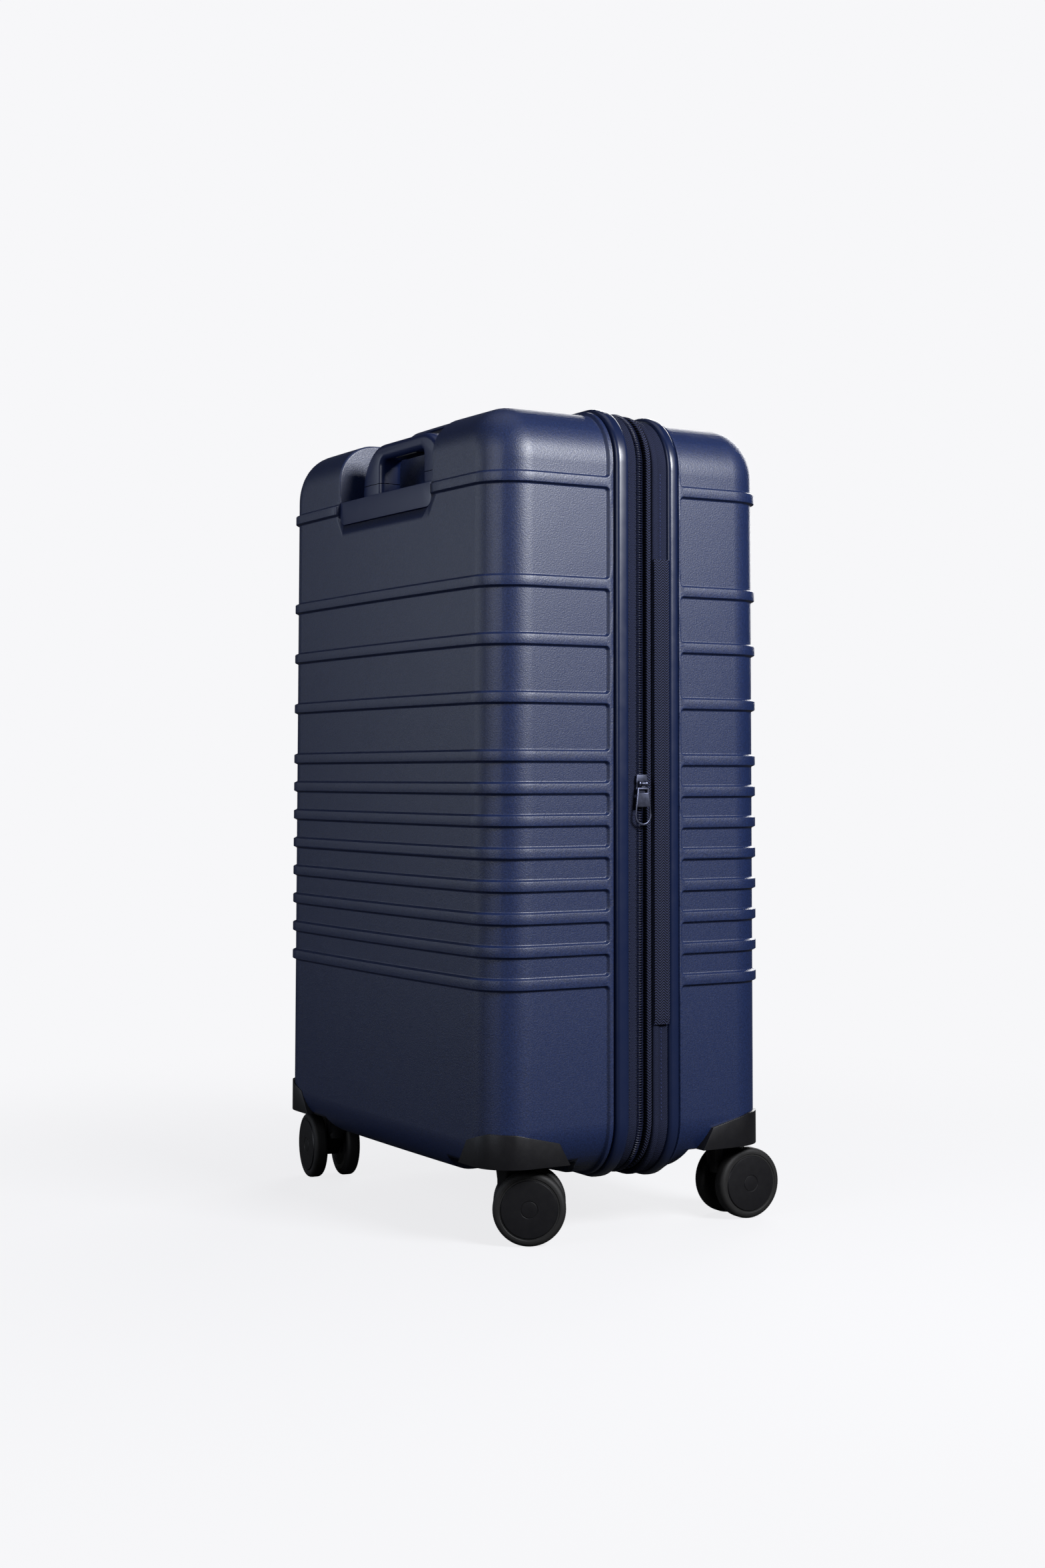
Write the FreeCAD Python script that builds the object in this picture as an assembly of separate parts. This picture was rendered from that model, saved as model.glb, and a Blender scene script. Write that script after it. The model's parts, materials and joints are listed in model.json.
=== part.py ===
"""Hard-shell spinner suitcase, expandable, standing upright on four twin-wheel casters.

Millimetres.  X runs across the width, Z is up from the floor, and the back face with the
trolley handle looks along +Y.  Depths are counted from the back face towards the front.
Every separate piece is written to parts/NODE.step.
"""
import FreeCAD, Part
import math
import os
from FreeCAD import Vector

# ---- overall size --------------------------------------------------------------------
HALF_WIDTH = 204.0          # flat side panel, without ribs
TOP_Z = 677.0               # flat top panel
BOTTOM_Z = 50.0             # flat belly
CASE_DEPTH = 265.0          # back panel edge to front panel edge
CORNER_RADIUS = 45.0        # the four edges that run from back to front
FACE_RADIUS = 34.0          # the edge loop of the back and front panels
CROWN = 3.5                 # how far the back and front panels bulge at mid-width
WALL = 2.5                  # polycarbonate thickness
FRONT_DROP = 3.0            # the zipped front half hangs this much lower
DEPTH_ORIGIN = 139.75       # depth of the middle of the whole object, wheels included

# ---- layout through the depth --------------------------------------------------------
BORDER_START = 103.0        # raised border beside the trim
BORDER_WIDTH = 5.5
BACK_TRIM = (110.0, 122.0)
EXPANSION_TAPE = (122.0, 131.0)
EXPANSION_COIL = (131.0, 137.0)
GUSSET = (122.3, 140.7)
BAND = (141.0, 145.5)
MAIN_ROLL = (146.0, 152.0)
MAIN_TAPE = (152.0, 161.0)
FRONT_TRIM = (161.0, 171.0)
FRONT_BORDER_START = 172.0
FRONT_BORDER_WIDTH = 4.0
TRIM_PROUD = 6.0
HINGE_TAPE_Z = (171.0, 554.0)

# ---- ribs ----------------------------------------------------------------------------
RIB_PROUD = 3.0
RIB_WIDTH = 10.8
TOP_RIB_Z = 610.0           # lower edge of the highest rib
WIDE_GAP = 84.0             # down to the second rib
WIDE_PITCH = 47.0
WIDE_COUNT = 3
FINE_PITCH = 26.0
FINE_COUNT = 7

# ---- casters -------------------------------------------------------------------------
WHEEL_RADIUS = 29.5
HUB_RADIUS = 23.75
WHEEL_WIDTH = 12.5
WHEEL_PITCH = 31.0          # between the middles of the two wheels of a caster
TRAIL = 18.0
AXLE_RADIUS = 4.0
RUNNING_GAP = 0.05
KINGPIN_RADIUS = 4.0
HOUSING_BOTTOM = 64.0
HOUSING_TOP = 92.0
HOUSING_PROUD = 2.0
WELL_RADIUS = 54.5          # room for the wheels to swing round under the shell
WELL_TOP = 64.0
CASTERS = {                 # x and depth of the swivel axis, heading of the trail in degrees
    "rear_left": (-163.0, 34.0, 239.5),
    "rear_right": (163.0, 34.0, -8.1),
    "front_left": (-169.0, 238.0, 267.8),
    "front_right": (169.0, 238.0, 272.2),
}

# ---- trolley handle ------------------------------------------------------------------
TROLLEY_X = -6.0            # middle of the recess and of the trolley handle
TUBE_X = 58.5               # from there to the middle of each tube
TUBE_DEPTH = 25.0
OUTER_TUBE = (24.0, 18.0)   # across, front to back
TUBE_WALL = 1.0
TUBE_GAP = 0.3
FOOT_Z = (84.0, 100.0)
RECESS_HALF = 90.0
RECESS_CORNER = 10.0
RECESS_DEPTH = 56.0
BEZEL_Z = (600.0, 622.0)
BEZEL_WALL = 3.0
GRIP_HALF = 78.0
GRIP_HOLE_HALF = 41.0
GRIP_TOP = 671.0
GRIP_HOLE_TOP = 657.0
GRIP_BOTTOM = 623.0
GRIP_THICK = 22.0
GRIP_CORNER = 36.0
BUTTON_HALF = 20.0

# ---- carry handles -------------------------------------------------------------------
TOP_CARRY_HALF = 105.0
SIDE_CARRY_HALF = 80.0
STEM_INSET = 10.0           # from the end of a carry handle to the middle of its stem
CARRY_WIDTH = 26.0
CARRY_STRAP = 4.0
CARRY_PULL = 14.0
TOP_CARRY_DEPTH = 83.0
TOP_CARRY_PROUD = 15.0
SIDE_CARRY_DEPTH = 54.0
SIDE_CARRY_Z = 364.0
SIDE_CARRY_PROUD = 9.5

# ---- lock and zip sliders ------------------------------------------------------------
LOCK_Z = 364.0
LOCK_HALF = 36.0
LOCK_DEPTH = (146.5, 190.0)
LOCK_X = (198.0, 213.4)
DIAL_RADIUS = 7.0
DIAL_WIDTH = 5.0
DIAL_PITCH = 7.0
DIAL_DEPTH = 180.0
DIAL_X = LOCK_X[1] - DIAL_RADIUS - 0.3
SPINDLE_RADIUS = 1.5
MAIN_PULL_DEPTH = 152.0
MAIN_PIVOT_OFFSET = 54.0    # from the middle of the lock up or down to the pull pivots
EXPANSION_PULL_DEPTH = 134.0
EXPANSION_PIVOT_Z = 368.0   # pull pivot of the parked expansion slider
PIVOT_X = 211.4             # axis of every zip pull, out from the middle of the case
SLIDER_FACE_X = 209.5       # outer face of a slider's base
PIN_RADIUS = 0.9
EYE_RADIUS = 2.0
PULL_LENGTH = 34.2          # from the pivot to the tip
PULL_HALF = 8.0             # half width at the rounded end
PULL_NECK_HALF = 5.6

# ---- lining --------------------------------------------------------------------------
LINING_GAP = 0.5
LINING = 1.2
BACK_FLOOR_DEPTH = 38.0
STRAP_Z = (300.0, 440.0)
STRAP_REACH = 160.0
STRAP_WIDTH = 25.0
STRAP_THICK = 1.5
BUCKLE_HALF = 16.0
BUCKLE_THICK = 7.0

LEFT_AND_RIGHT = (-1, 1)


def depth_to_y(depth):
    return DEPTH_ORIGIN - depth


def box(x_range, depth_range, z_range):
    """A box given by its x, depth and z limits."""
    size_x = x_range[1] - x_range[0]
    size_y = depth_range[1] - depth_range[0]
    size_z = z_range[1] - z_range[0]
    corner = Vector(x_range[0], depth_to_y(depth_range[1]), z_range[0])
    return Part.makeBox(size_x, size_y, size_z, corner)


def cylinder_between(start, end, radius):
    """A round bar from one point to another."""
    axis = end - start
    return Part.makeCylinder(radius, axis.Length, start, axis)


def fused(shapes):
    first = shapes[0]
    if len(shapes) == 1:
        return first
    return first.multiFuse(shapes[1:]).removeSplitter()


def cut_by(shape, tools):
    for tool in tools:
        shape = shape.cut(tool)
    return shape


# ---- case outlines -------------------------------------------------------------------
def front_outline(offset, drop):
    """Front view of the case, a rounded rectangle grown by offset, in the plane y = 0."""
    half = HALF_WIDTH + offset
    low = BOTTOM_Z - offset - drop
    high = TOP_Z + offset - drop
    radius = CORNER_RADIUS + offset
    diagonal = radius * (1.0 - math.sqrt(0.5))
    edges = []
    for side, bottom_first in ((1, True), (-1, False)):
        x_face = side * half
        x_flat = side * (half - radius)
        x_mid = side * (half - diagonal)
        low_arc = Part.Arc(Vector(x_flat, 0, low), Vector(x_mid, 0, low + diagonal),
                           Vector(x_face, 0, low + radius))
        high_arc = Part.Arc(Vector(x_face, 0, high - radius), Vector(x_mid, 0, high - diagonal),
                            Vector(x_flat, 0, high))
        side_line = Part.LineSegment(Vector(x_face, 0, low + radius),
                                     Vector(x_face, 0, high - radius))
        edges += [low_arc.toShape(), side_line.toShape(), high_arc.toShape()]
    for z in (low, high):
        line = Part.LineSegment(Vector(-half + radius, 0, z), Vector(half - radius, 0, z))
        edges.append(line.toShape())
    return Part.Wire(Part.__sortEdges__(edges))


def case_prism(offset, depth_range, drop=0.0):
    """The front outline carried through a range of depths."""
    face = Part.Face(front_outline(offset, drop))
    face.translate(Vector(0, depth_to_y(depth_range[1]), 0))
    return face.extrude(Vector(0, depth_range[1] - depth_range[0], 0))


def case_ring(outer, inner, depth_range, drop=0.0):
    return case_prism(outer, depth_range, drop).cut(case_prism(inner, depth_range, drop))


def case_block(offset, rim_depth, is_front):
    """One half of the case as a solid lump: crowned panel, rounded edges, flat at the rim."""
    drop = FRONT_DROP if is_front else 0.0
    crown_radius = (HALF_WIDTH ** 2 + CROWN ** 2) / (2.0 * CROWN)
    if is_front:
        far = CASE_DEPTH + offset + CROWN
        prism = case_prism(offset, (rim_depth, far), drop)
        axis_depth = far - crown_radius
    else:
        far = -offset - CROWN
        prism = case_prism(offset, (far, rim_depth), drop)
        axis_depth = far + crown_radius
    centre = Vector(0, depth_to_y(axis_depth), -50)
    barrel = Part.makeCylinder(crown_radius, 900, centre, Vector(0, 0, 1))
    lump = prism.common(barrel)
    curved = [face for face in lump.Faces if isinstance(face.Surface, Part.Cylinder)]
    panel = max(curved, key=lambda face: face.Surface.Radius)
    return lump.makeFillet(FACE_RADIUS + offset, panel.Edges)


def rib_heights():
    """Lower edge of every rib, from the top down."""
    heights = [TOP_RIB_Z, TOP_RIB_Z - WIDE_GAP]
    for _ in range(WIDE_COUNT):
        heights.append(heights[-1] - WIDE_PITCH)
    for _ in range(FINE_COUNT):
        heights.append(heights[-1] - FINE_PITCH)
    return heights


def rib_slabs(depth_range, drop):
    wide = (-HALF_WIDTH - 20, HALF_WIDTH + 20)
    return [box(wide, depth_range, (z - drop, z - drop + RIB_WIDTH)) for z in rib_heights()]


# ---- caster housings -----------------------------------------------------------------
def polygon_prism(points, direction):
    wire = Part.makePolygon(points + [points[0]])
    return Part.Face(wire).extrude(direction)


def caster_housing(side, is_front):
    """A corner shoe: it follows the side and the panel, and slopes down at both ends."""
    reach = 68.0
    shoulder = 44.0
    profile = [(-10.0, HOUSING_BOTTOM), (-10.0, HOUSING_TOP), (20.0, HOUSING_TOP - 1.0),
               (58.0, 82.0), (reach, HOUSING_BOTTOM)]
    across = [(-10.0, HOUSING_BOTTOM), (-10.0, HOUSING_TOP), (15.0, HOUSING_TOP),
              (shoulder, 84.0), (58.0, HOUSING_BOTTOM)]
    width = HALF_WIDTH + 10.0

    def depth_of(inset):
        return CASE_DEPTH - inset if is_front else inset

    side_points = [Vector(0, depth_to_y(depth_of(inset)), z) for inset, z in profile]
    side_view = polygon_prism(side_points, Vector(side * width, 0, 0))
    back_points = [Vector(side * (HALF_WIDTH - inset), 0, z) for inset, z in across]
    back_view = polygon_prism(back_points, Vector(0, 80, 0))
    back_view.translate(Vector(0, depth_to_y(depth_of(35.0)) - 40, 0))
    near_corner = side_view.common(back_view)
    near = min(depth_of(-HOUSING_PROUD), depth_of(80.0))
    far = max(depth_of(-HOUSING_PROUD), depth_of(80.0))
    column = box((-HALF_WIDTH - HOUSING_PROUD, HALF_WIDTH + HOUSING_PROUD), (near, far), (0, 200))
    upright = [edge for edge in column.Edges if is_corner_post(edge, depth_of(-HOUSING_PROUD))]
    column = column.makeFillet(FACE_RADIUS, upright)
    return near_corner.common(column)


def is_corner_post(edge, depth):
    """True for the two vertical edges of a column that stand at the given depth."""
    ends = [vertex.Point for vertex in edge.Vertexes]
    vertical = abs(ends[0].x - ends[1].x) < 0.01 and abs(ends[0].y - ends[1].y) < 0.01
    return vertical and abs(ends[0].y - depth_to_y(depth)) < 0.01


def wheel_wells(is_front, grow):
    """Round pockets in the belly, one over each caster, grown by a wall thickness."""
    wells = []
    for x, depth, _ in caster_places(is_front):
        floor = Vector(x, depth_to_y(depth), 0)
        roof = Vector(x, depth_to_y(depth), WELL_TOP + grow)
        wells.append(cylinder_between(floor, roof, WELL_RADIUS + grow))
    return wells


def all_housings(is_front):
    return [caster_housing(side, is_front) for side in LEFT_AND_RIGHT]


def caster_places(is_front):
    word = "front" if is_front else "rear"
    return [place for name, place in CASTERS.items() if name.startswith(word)]


def kingpin(place):
    x, depth, _ = place
    pin = cylinder_between(Vector(x, depth_to_y(depth), 42), Vector(x, depth_to_y(depth), 82),
                           KINGPIN_RADIUS)
    head = cylinder_between(Vector(x, depth_to_y(depth), 82), Vector(x, depth_to_y(depth), 85),
                            7.0)
    return fused([pin, head])


def housing_with_pin_bores(is_front):
    housings = Part.makeCompound(all_housings(is_front))
    pins = [kingpin(place) for place in caster_places(is_front)]
    return cut_by(housings, pins)


# ---- caster, built with its swivel axis on Z and its trail along +X -------------------
def fork():
    hub = cylinder_between(Vector(0, 0, 59.8), Vector(0, 0, 63.5), 18.0)
    neck = cylinder_between(Vector(0, 0, 38), Vector(0, 0, 61), 8.0)
    half = 7.5
    outline = [Vector(-9, -half, 60.5), Vector(16, -half, 60.5), Vector(27, -half, 30),
               Vector(22, -half, 20.5), Vector(13, -half, 20.5), Vector(-7, -half, 44)]
    web = polygon_prism(outline, Vector(0, 2 * half, 0))
    body = fused([hub, neck, web])
    pin_bore = cylinder_between(Vector(0, 0, 41.5), Vector(0, 0, 70),
                                KINGPIN_RADIUS + RUNNING_GAP)
    return body.cut(pin_bore).cut(axle())


def axle():
    reach = WHEEL_PITCH / 2 + WHEEL_WIDTH / 2 - 3.0
    return cylinder_between(Vector(TRAIL, -reach, WHEEL_RADIUS),
                            Vector(TRAIL, reach, WHEEL_RADIUS), AXLE_RADIUS)


def turned(points, side):
    """A solid of revolution about the wheel axle from (outward, radius) points."""
    middle = side * WHEEL_PITCH / 2
    path = [Vector(TRAIL, middle + side * out, WHEEL_RADIUS + radius) for out, radius in points]
    wire = Part.makePolygon(path + [path[0]])
    return Part.Face(wire).revolve(Vector(TRAIL, 0, WHEEL_RADIUS), Vector(0, 1, 0), 360)


def hub(side):
    half = WHEEL_WIDTH / 2
    bore = AXLE_RADIUS + RUNNING_GAP
    points = [(-half, bore), (-half, 9), (-half + 4, 9), (-half + 4, HUB_RADIUS - 4),
              (-half, HUB_RADIUS - 4), (-half, HUB_RADIUS), (half, HUB_RADIUS),
              (half, HUB_RADIUS - 1), (half + 0.6, HUB_RADIUS - 2), (half + 0.6, 0),
              (half - 2.9, 0), (half - 2.9, bore)]
    return turned(points, side)


def tyre(side):
    half = WHEEL_WIDTH / 2
    shoulder = 3.2
    middle = side * WHEEL_PITCH / 2
    ring = cylinder_between(Vector(TRAIL, middle - half, WHEEL_RADIUS),
                            Vector(TRAIL, middle + half, WHEEL_RADIUS), WHEEL_RADIUS)
    ring = ring.makeFillet(shoulder, ring.Edges[:1] + ring.Edges[2:])
    core = cylinder_between(Vector(TRAIL, middle - half - 1, WHEEL_RADIUS),
                            Vector(TRAIL, middle + half + 1, WHEEL_RADIUS), HUB_RADIUS)
    return ring.cut(core)


def placed_caster(shape, place):
    x, depth, heading = place
    moved = shape.copy()
    moved.rotate(Vector(0, 0, 0), Vector(0, 0, 1), heading)
    moved.translate(Vector(x, depth_to_y(depth), 0))
    return moved


# ---- shells, linings and trims -------------------------------------------------------
def recess_outline(inset, floor_z, corner):
    """Front view of the handle recess: upright sides, rounded foot corners, open on top."""
    half = RECESS_HALF - inset
    bend = corner * (1.0 - math.sqrt(0.5))
    sky = TOP_Z + 20
    points = []
    edges = []
    for side in LEFT_AND_RIGHT:
        knee = Vector(TROLLEY_X + side * half, 0, floor_z + corner)
        middle = Vector(TROLLEY_X + side * (half - bend), 0, floor_z + bend)
        foot = Vector(TROLLEY_X + side * (half - corner), 0, floor_z)
        rim = Vector(TROLLEY_X + side * half, 0, sky)
        edges.append(Part.Arc(knee, middle, foot).toShape())
        edges.append(Part.LineSegment(knee, rim).toShape())
        points += [foot, rim]
    edges.append(Part.LineSegment(points[0], points[2]).toShape())
    edges.append(Part.LineSegment(points[1], points[3]).toShape())
    return Part.Face(Part.Wire(Part.__sortEdges__(edges)))


def recess_prism(inset, floor_z, deepest, corner=RECESS_CORNER):
    face = recess_outline(inset, floor_z, corner)
    face.translate(Vector(0, depth_to_y(deepest), 0))
    return face.extrude(Vector(0, deepest + 20, 0))


def side_pad():
    """Smooth area of the right side panel where the carry handle sits, free of ribs."""
    reach = SIDE_CARRY_HALF + 10
    return box((0, HALF_WIDTH + 20), (SIDE_CARRY_DEPTH - 20, SIDE_CARRY_DEPTH + 20),
               (SIDE_CARRY_Z - reach, SIDE_CARRY_Z + reach))


def carry_slots(place, half, grow):
    """The two stems of a carry handle, grown by the clearance they slide with."""
    slots = []
    for side in LEFT_AND_RIGHT:
        middle = side * (half - STEM_INSET)
        stem = Part.makeBox(12 + 2 * grow, 14 + 2 * grow, 40,
                            Vector(middle - 6 - grow, -7 - grow, -20))
        slots.append(place(stem))
    return slots


def on_top(shape):
    moved = shape.copy()
    moved.translate(Vector(0, depth_to_y(TOP_CARRY_DEPTH), TOP_Z))
    return moved


def on_right_side(shape):
    moved = shape.copy()
    moved.rotate(Vector(0, 0, 0), Vector(0, 1, 0), 90)
    moved.translate(Vector(HALF_WIDTH, depth_to_y(SIDE_CARRY_DEPTH), SIDE_CARRY_Z))
    return moved


def carry_handle(place, half, proud):
    """A strap handle with a stem and a stop foot under each end, base plane at z = 0."""
    strap = Part.makeBox(2 * half, CARRY_WIDTH, CARRY_STRAP,
                         Vector(-half, -CARRY_WIDTH / 2, proud - CARRY_STRAP))
    upright = [edge for edge in strap.Edges if abs(edge.BoundBox.ZLength - CARRY_STRAP) < 0.01]
    pieces = [strap.makeFillet(11.0, upright)]
    for side in LEFT_AND_RIGHT:
        middle = side * (half - STEM_INSET)
        pieces.append(Part.makeBox(12, 14, proud + 18, Vector(middle - 6, -7, -18)))
        pieces.append(Part.makeBox(18, 20, 2, Vector(middle - 9, -10, -20)))
    return place(fused(pieces))


def back_shell():
    rim = BACK_TRIM[0] + 8.0
    body = case_block(0.0, rim, False)
    raised = case_block(RIB_PROUD, BORDER_START + BORDER_WIDTH, False)
    slabs = rib_slabs((-20.0, BORDER_START), 0.0)
    border = box((-300, 300), (BORDER_START, BORDER_START + BORDER_WIDTH), (0, 800))
    ribs = raised.common(Part.makeCompound(slabs + [border])).cut(side_pad())
    solid = fused([body] + ribs.Solids)
    hollow = cut_by(case_block(-WALL, rim + 1, False), wheel_wells(False, WALL))
    openings = all_housings(False) + [recess_prism(0.0, BEZEL_Z[0], RECESS_DEPTH)]
    openings += wheel_wells(False, 0.0)
    openings += carry_slots(on_top, TOP_CARRY_HALF, 0.4)
    openings += carry_slots(on_right_side, SIDE_CARRY_HALF, 0.4)
    return cut_by(solid.cut(hollow), openings)


def front_shell():
    rim = FRONT_TRIM[1] - 8.0
    body = case_block(0.0, rim, True)
    raised = case_block(RIB_PROUD, FRONT_BORDER_START, True)
    slabs = rib_slabs((FRONT_BORDER_START + FRONT_BORDER_WIDTH, CASE_DEPTH + 20), FRONT_DROP)
    border = box((-300, 300), (FRONT_BORDER_START, FRONT_BORDER_START + FRONT_BORDER_WIDTH),
                 (0, 800))
    ribs = raised.common(Part.makeCompound(slabs + [border]))
    solid = fused([body] + ribs.Solids)
    hollow = cut_by(case_block(-WALL, rim - 1, True), wheel_wells(True, WALL))
    openings = all_housings(True) + wheel_wells(True, 0.0) + [lock_block()]
    return cut_by(solid.cut(hollow), openings)


def edge_trim(depth_range, lip_depths, drop):
    """L-section frame: a proud outer bar and a lip that caps the shell's rim."""
    bar = case_prism(TRIM_PROUD, depth_range, drop)
    loops = [edge for edge in bar.Edges if abs(edge.BoundBox.YLength) < 0.01]
    bar = bar.makeFillet(3.0, loops)
    hole = case_prism(-WALL, (depth_range[0] - 1, depth_range[1] + 1), drop)
    seat = (min(lip_depths[0], depth_range[0] - 1), lip_depths[1])
    if lip_depths[1] > depth_range[1]:
        seat = (lip_depths[0], lip_depths[1] + 1)
    return bar.cut(hole).cut(case_prism(0.0, seat, drop))


def grown_box(shape, grow):
    bounds = shape.BoundBox
    size = (bounds.XLength + 2 * grow, bounds.YLength + 2 * grow, bounds.ZLength + 2 * grow)
    corner = Vector(bounds.XMin - grow, bounds.YMin - grow, bounds.ZMin - grow)
    return Part.makeBox(size[0], size[1], size[2], corner)


def lining(is_front, obstacles):
    """A thin tray inside a shell, with a bump over everything that reaches into the case."""
    offset = -WALL - LINING_GAP - 1.0
    if is_front:
        rim = FRONT_TRIM[1] - 6.0
        outside = case_block(offset, rim, True)
        inside = case_block(offset - LINING, rim - 1, True)
    else:
        rim = BACK_TRIM[1] - 6.0
        outside = case_prism(offset, (BACK_FLOOR_DEPTH, rim))
        inside = case_prism(offset - LINING, (BACK_FLOOR_DEPTH + LINING, rim + 1))
    for obstacle in obstacles:
        outside = outside.cut(grown_box(obstacle, LINING_GAP))
        inside = inside.cut(grown_box(obstacle, LINING_GAP + LINING))
    return outside.cut(inside)


# ---- trolley handle ------------------------------------------------------------------
def tube_pair(size, z_range, wall):
    tubes = []
    for side in LEFT_AND_RIGHT:
        x = TROLLEY_X + side * TUBE_X
        outer = box((x - size[0] / 2, x + size[0] / 2),
                    (TUBE_DEPTH - size[1] / 2, TUBE_DEPTH + size[1] / 2), z_range)
        if wall:
            hole = box((x - size[0] / 2 + wall, x + size[0] / 2 - wall),
                       (TUBE_DEPTH - size[1] / 2 + wall, TUBE_DEPTH + size[1] / 2 - wall),
                       (z_range[0] - 1, z_range[1] + 1))
            outer = outer.cut(hole)
        tubes.append(outer)
    return Part.makeCompound(tubes)


def shrunk(size, amount):
    return (size[0] - 2 * amount, size[1] - 2 * amount)


MIDDLE_TUBE = shrunk(OUTER_TUBE, TUBE_WALL + TUBE_GAP)
INNER_TUBE = shrunk(MIDDLE_TUBE, TUBE_WALL + TUBE_GAP)


def handle_bezel():
    """The recess liner: floor block, side cheeks and rear wall, open at the top and back."""
    lump = case_block(0.0, RECESS_DEPTH, False).common(
        recess_prism(0.0, BEZEL_Z[0], RECESS_DEPTH))
    cavity = recess_prism(BEZEL_WALL, BEZEL_Z[1], RECESS_DEPTH - BEZEL_WALL, 2.0)
    holes = tube_pair(shrunk(OUTER_TUBE, TUBE_WALL), (BEZEL_Z[0] - 1, BEZEL_Z[1] + 1), 0)
    return lump.cut(cavity).cut(holes)


def handle_foot():
    plate = box((TROLLEY_X - RECESS_HALF, TROLLEY_X + RECESS_HALF),
                (TUBE_DEPTH - 13, TUBE_DEPTH + 12), FOOT_Z)
    sockets = tube_pair(OUTER_TUBE, (FOOT_Z[0] + 2, FOOT_Z[1] + 1), 0)
    return plate.cut(sockets)


def grip_face(half, bottom, top, radius):
    edges = []
    corner = radius * (1.0 - math.sqrt(0.5))
    for side in LEFT_AND_RIGHT:
        x = side * half
        foot = Vector(x, 0, bottom)
        knee = Vector(x, 0, top - radius)
        middle = Vector(side * (half - corner), 0, top - corner)
        crown = Vector(side * (half - radius), 0, top)
        edges.append(Part.LineSegment(foot, knee).toShape())
        edges.append(Part.Arc(knee, middle, crown).toShape())
    edges.append(Part.LineSegment(Vector(-half, 0, bottom), Vector(half, 0, bottom)).toShape())
    edges.append(Part.LineSegment(Vector(radius - half, 0, top),
                                  Vector(half - radius, 0, top)).toShape())
    return Part.Face(Part.Wire(Part.__sortEdges__(edges)))


def handle_grip():
    """Inverted U with a thumb pocket under the cross bar and sockets for the inner tubes."""
    outer = grip_face(GRIP_HALF, GRIP_BOTTOM, GRIP_TOP, GRIP_CORNER)
    hole = grip_face(GRIP_HOLE_HALF, GRIP_BOTTOM - 5, GRIP_HOLE_TOP, 6.0)
    face = outer.cut(hole)
    face.translate(Vector(TROLLEY_X, depth_to_y(TUBE_DEPTH) - GRIP_THICK / 2, 0))
    grip = face.extrude(Vector(0, GRIP_THICK, 0))
    sockets = tube_pair(INNER_TUBE, (GRIP_BOTTOM - 1, GRIP_BOTTOM + 20), 0)
    return grip.cut(sockets).cut(thumb_button(0.3, 10.0))


def thumb_button(grow, height):
    reach = BUTTON_HALF + grow
    return box((TROLLEY_X - reach, TROLLEY_X + reach),
               (TUBE_DEPTH - 6 - grow, TUBE_DEPTH + 6 + grow),
               (GRIP_HOLE_TOP - 1.0, GRIP_HOLE_TOP - 1.0 + height))


# ---- lock and sliders ----------------------------------------------------------------
def lock_block():
    return box(LOCK_X, LOCK_DEPTH, (LOCK_Z - LOCK_HALF, LOCK_Z + LOCK_HALF))


def dial(index, grow):
    z = LOCK_Z + index * DIAL_PITCH
    low = Vector(DIAL_X, depth_to_y(DIAL_DEPTH), z - DIAL_WIDTH / 2 - grow)
    high = Vector(DIAL_X, depth_to_y(DIAL_DEPTH), z + DIAL_WIDTH / 2 + grow)
    return cylinder_between(low, high, DIAL_RADIUS + grow)


def spindle(radius):
    reach = 1.5 * DIAL_PITCH + 4
    return cylinder_between(Vector(DIAL_X, depth_to_y(DIAL_DEPTH), LOCK_Z - reach),
                            Vector(DIAL_X, depth_to_y(DIAL_DEPTH), LOCK_Z + reach), radius)


def lock_button(grow, x_low):
    return box((x_low, LOCK_X[1] - 0.4), (MAIN_PULL_DEPTH - 4 - grow, MAIN_PULL_DEPTH + 4 + grow),
               (LOCK_Z - 5 - grow, LOCK_Z + 5 + grow))


def lock_housing():
    block = lock_block()
    outer_edges = [edge for edge in block.Edges if edge.BoundBox.XMin > LOCK_X[1] - 0.01]
    block = block.makeFillet(2.0, outer_edges)
    tools = [lock_button(0.3, LOCK_X[1] - 7)]
    tools += [dial(index, 0.6) for index in (-1, 0, 1)]
    for side in LEFT_AND_RIGHT:
        low = LOCK_Z + side * 9.0
        high = LOCK_Z + side * (LOCK_HALF + 5)
        tools.append(box((LOCK_X[1] - 5.0, LOCK_X[1] + 1),
                         (MAIN_PULL_DEPTH - PULL_HALF - 0.6, MAIN_PULL_DEPTH + PULL_HALF + 0.6),
                         (min(low, high), max(low, high))))
    return cut_by(block, tools).fuse(spindle(SPINDLE_RADIUS)).removeSplitter()


def pull_tab(side_x, pivot_z, depth, direction):
    """Flat pull: eye on the pin, a solid middle that widens and an open rounded end."""
    eye_width = 4.0
    thick = 1.4
    end = PULL_LENGTH - PULL_HALF
    corners = [(-PULL_NECK_HALF, 7.5), (PULL_NECK_HALF, 7.5), (PULL_HALF, end), (-PULL_HALF, end)]
    outline = [Vector(-thick / 2, across, along) for across, along in corners]
    middle = polygon_prism(outline, Vector(thick, 0, 0))
    round_end = cylinder_between(Vector(-thick / 2, 0, end), Vector(thick / 2, 0, end), PULL_HALF)
    tongue = Part.makeBox(thick, eye_width, 8.5, Vector(-thick / 2, -eye_width / 2, 0.8))
    plate = fused([middle, round_end, tongue])
    loop = cylinder_between(Vector(-2, 0, end - 0.5), Vector(2, 0, end - 0.5), PULL_HALF - 2.0)
    eye = cylinder_between(Vector(0, -eye_width / 2, 0), Vector(0, eye_width / 2, 0),
                           EYE_RADIUS)
    bore = cylinder_between(Vector(0, -eye_width, 0), Vector(0, eye_width, 0),
                            PIN_RADIUS + RUNNING_GAP)
    tab = plate.cut(loop).fuse(eye).removeSplitter().cut(bore)
    if direction < 0:
        tab.rotate(Vector(0, 0, 0), Vector(0, 1, 0), 180)
    tab.translate(Vector(side_x * PIVOT_X, depth_to_y(depth), pivot_z))
    return tab


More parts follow.
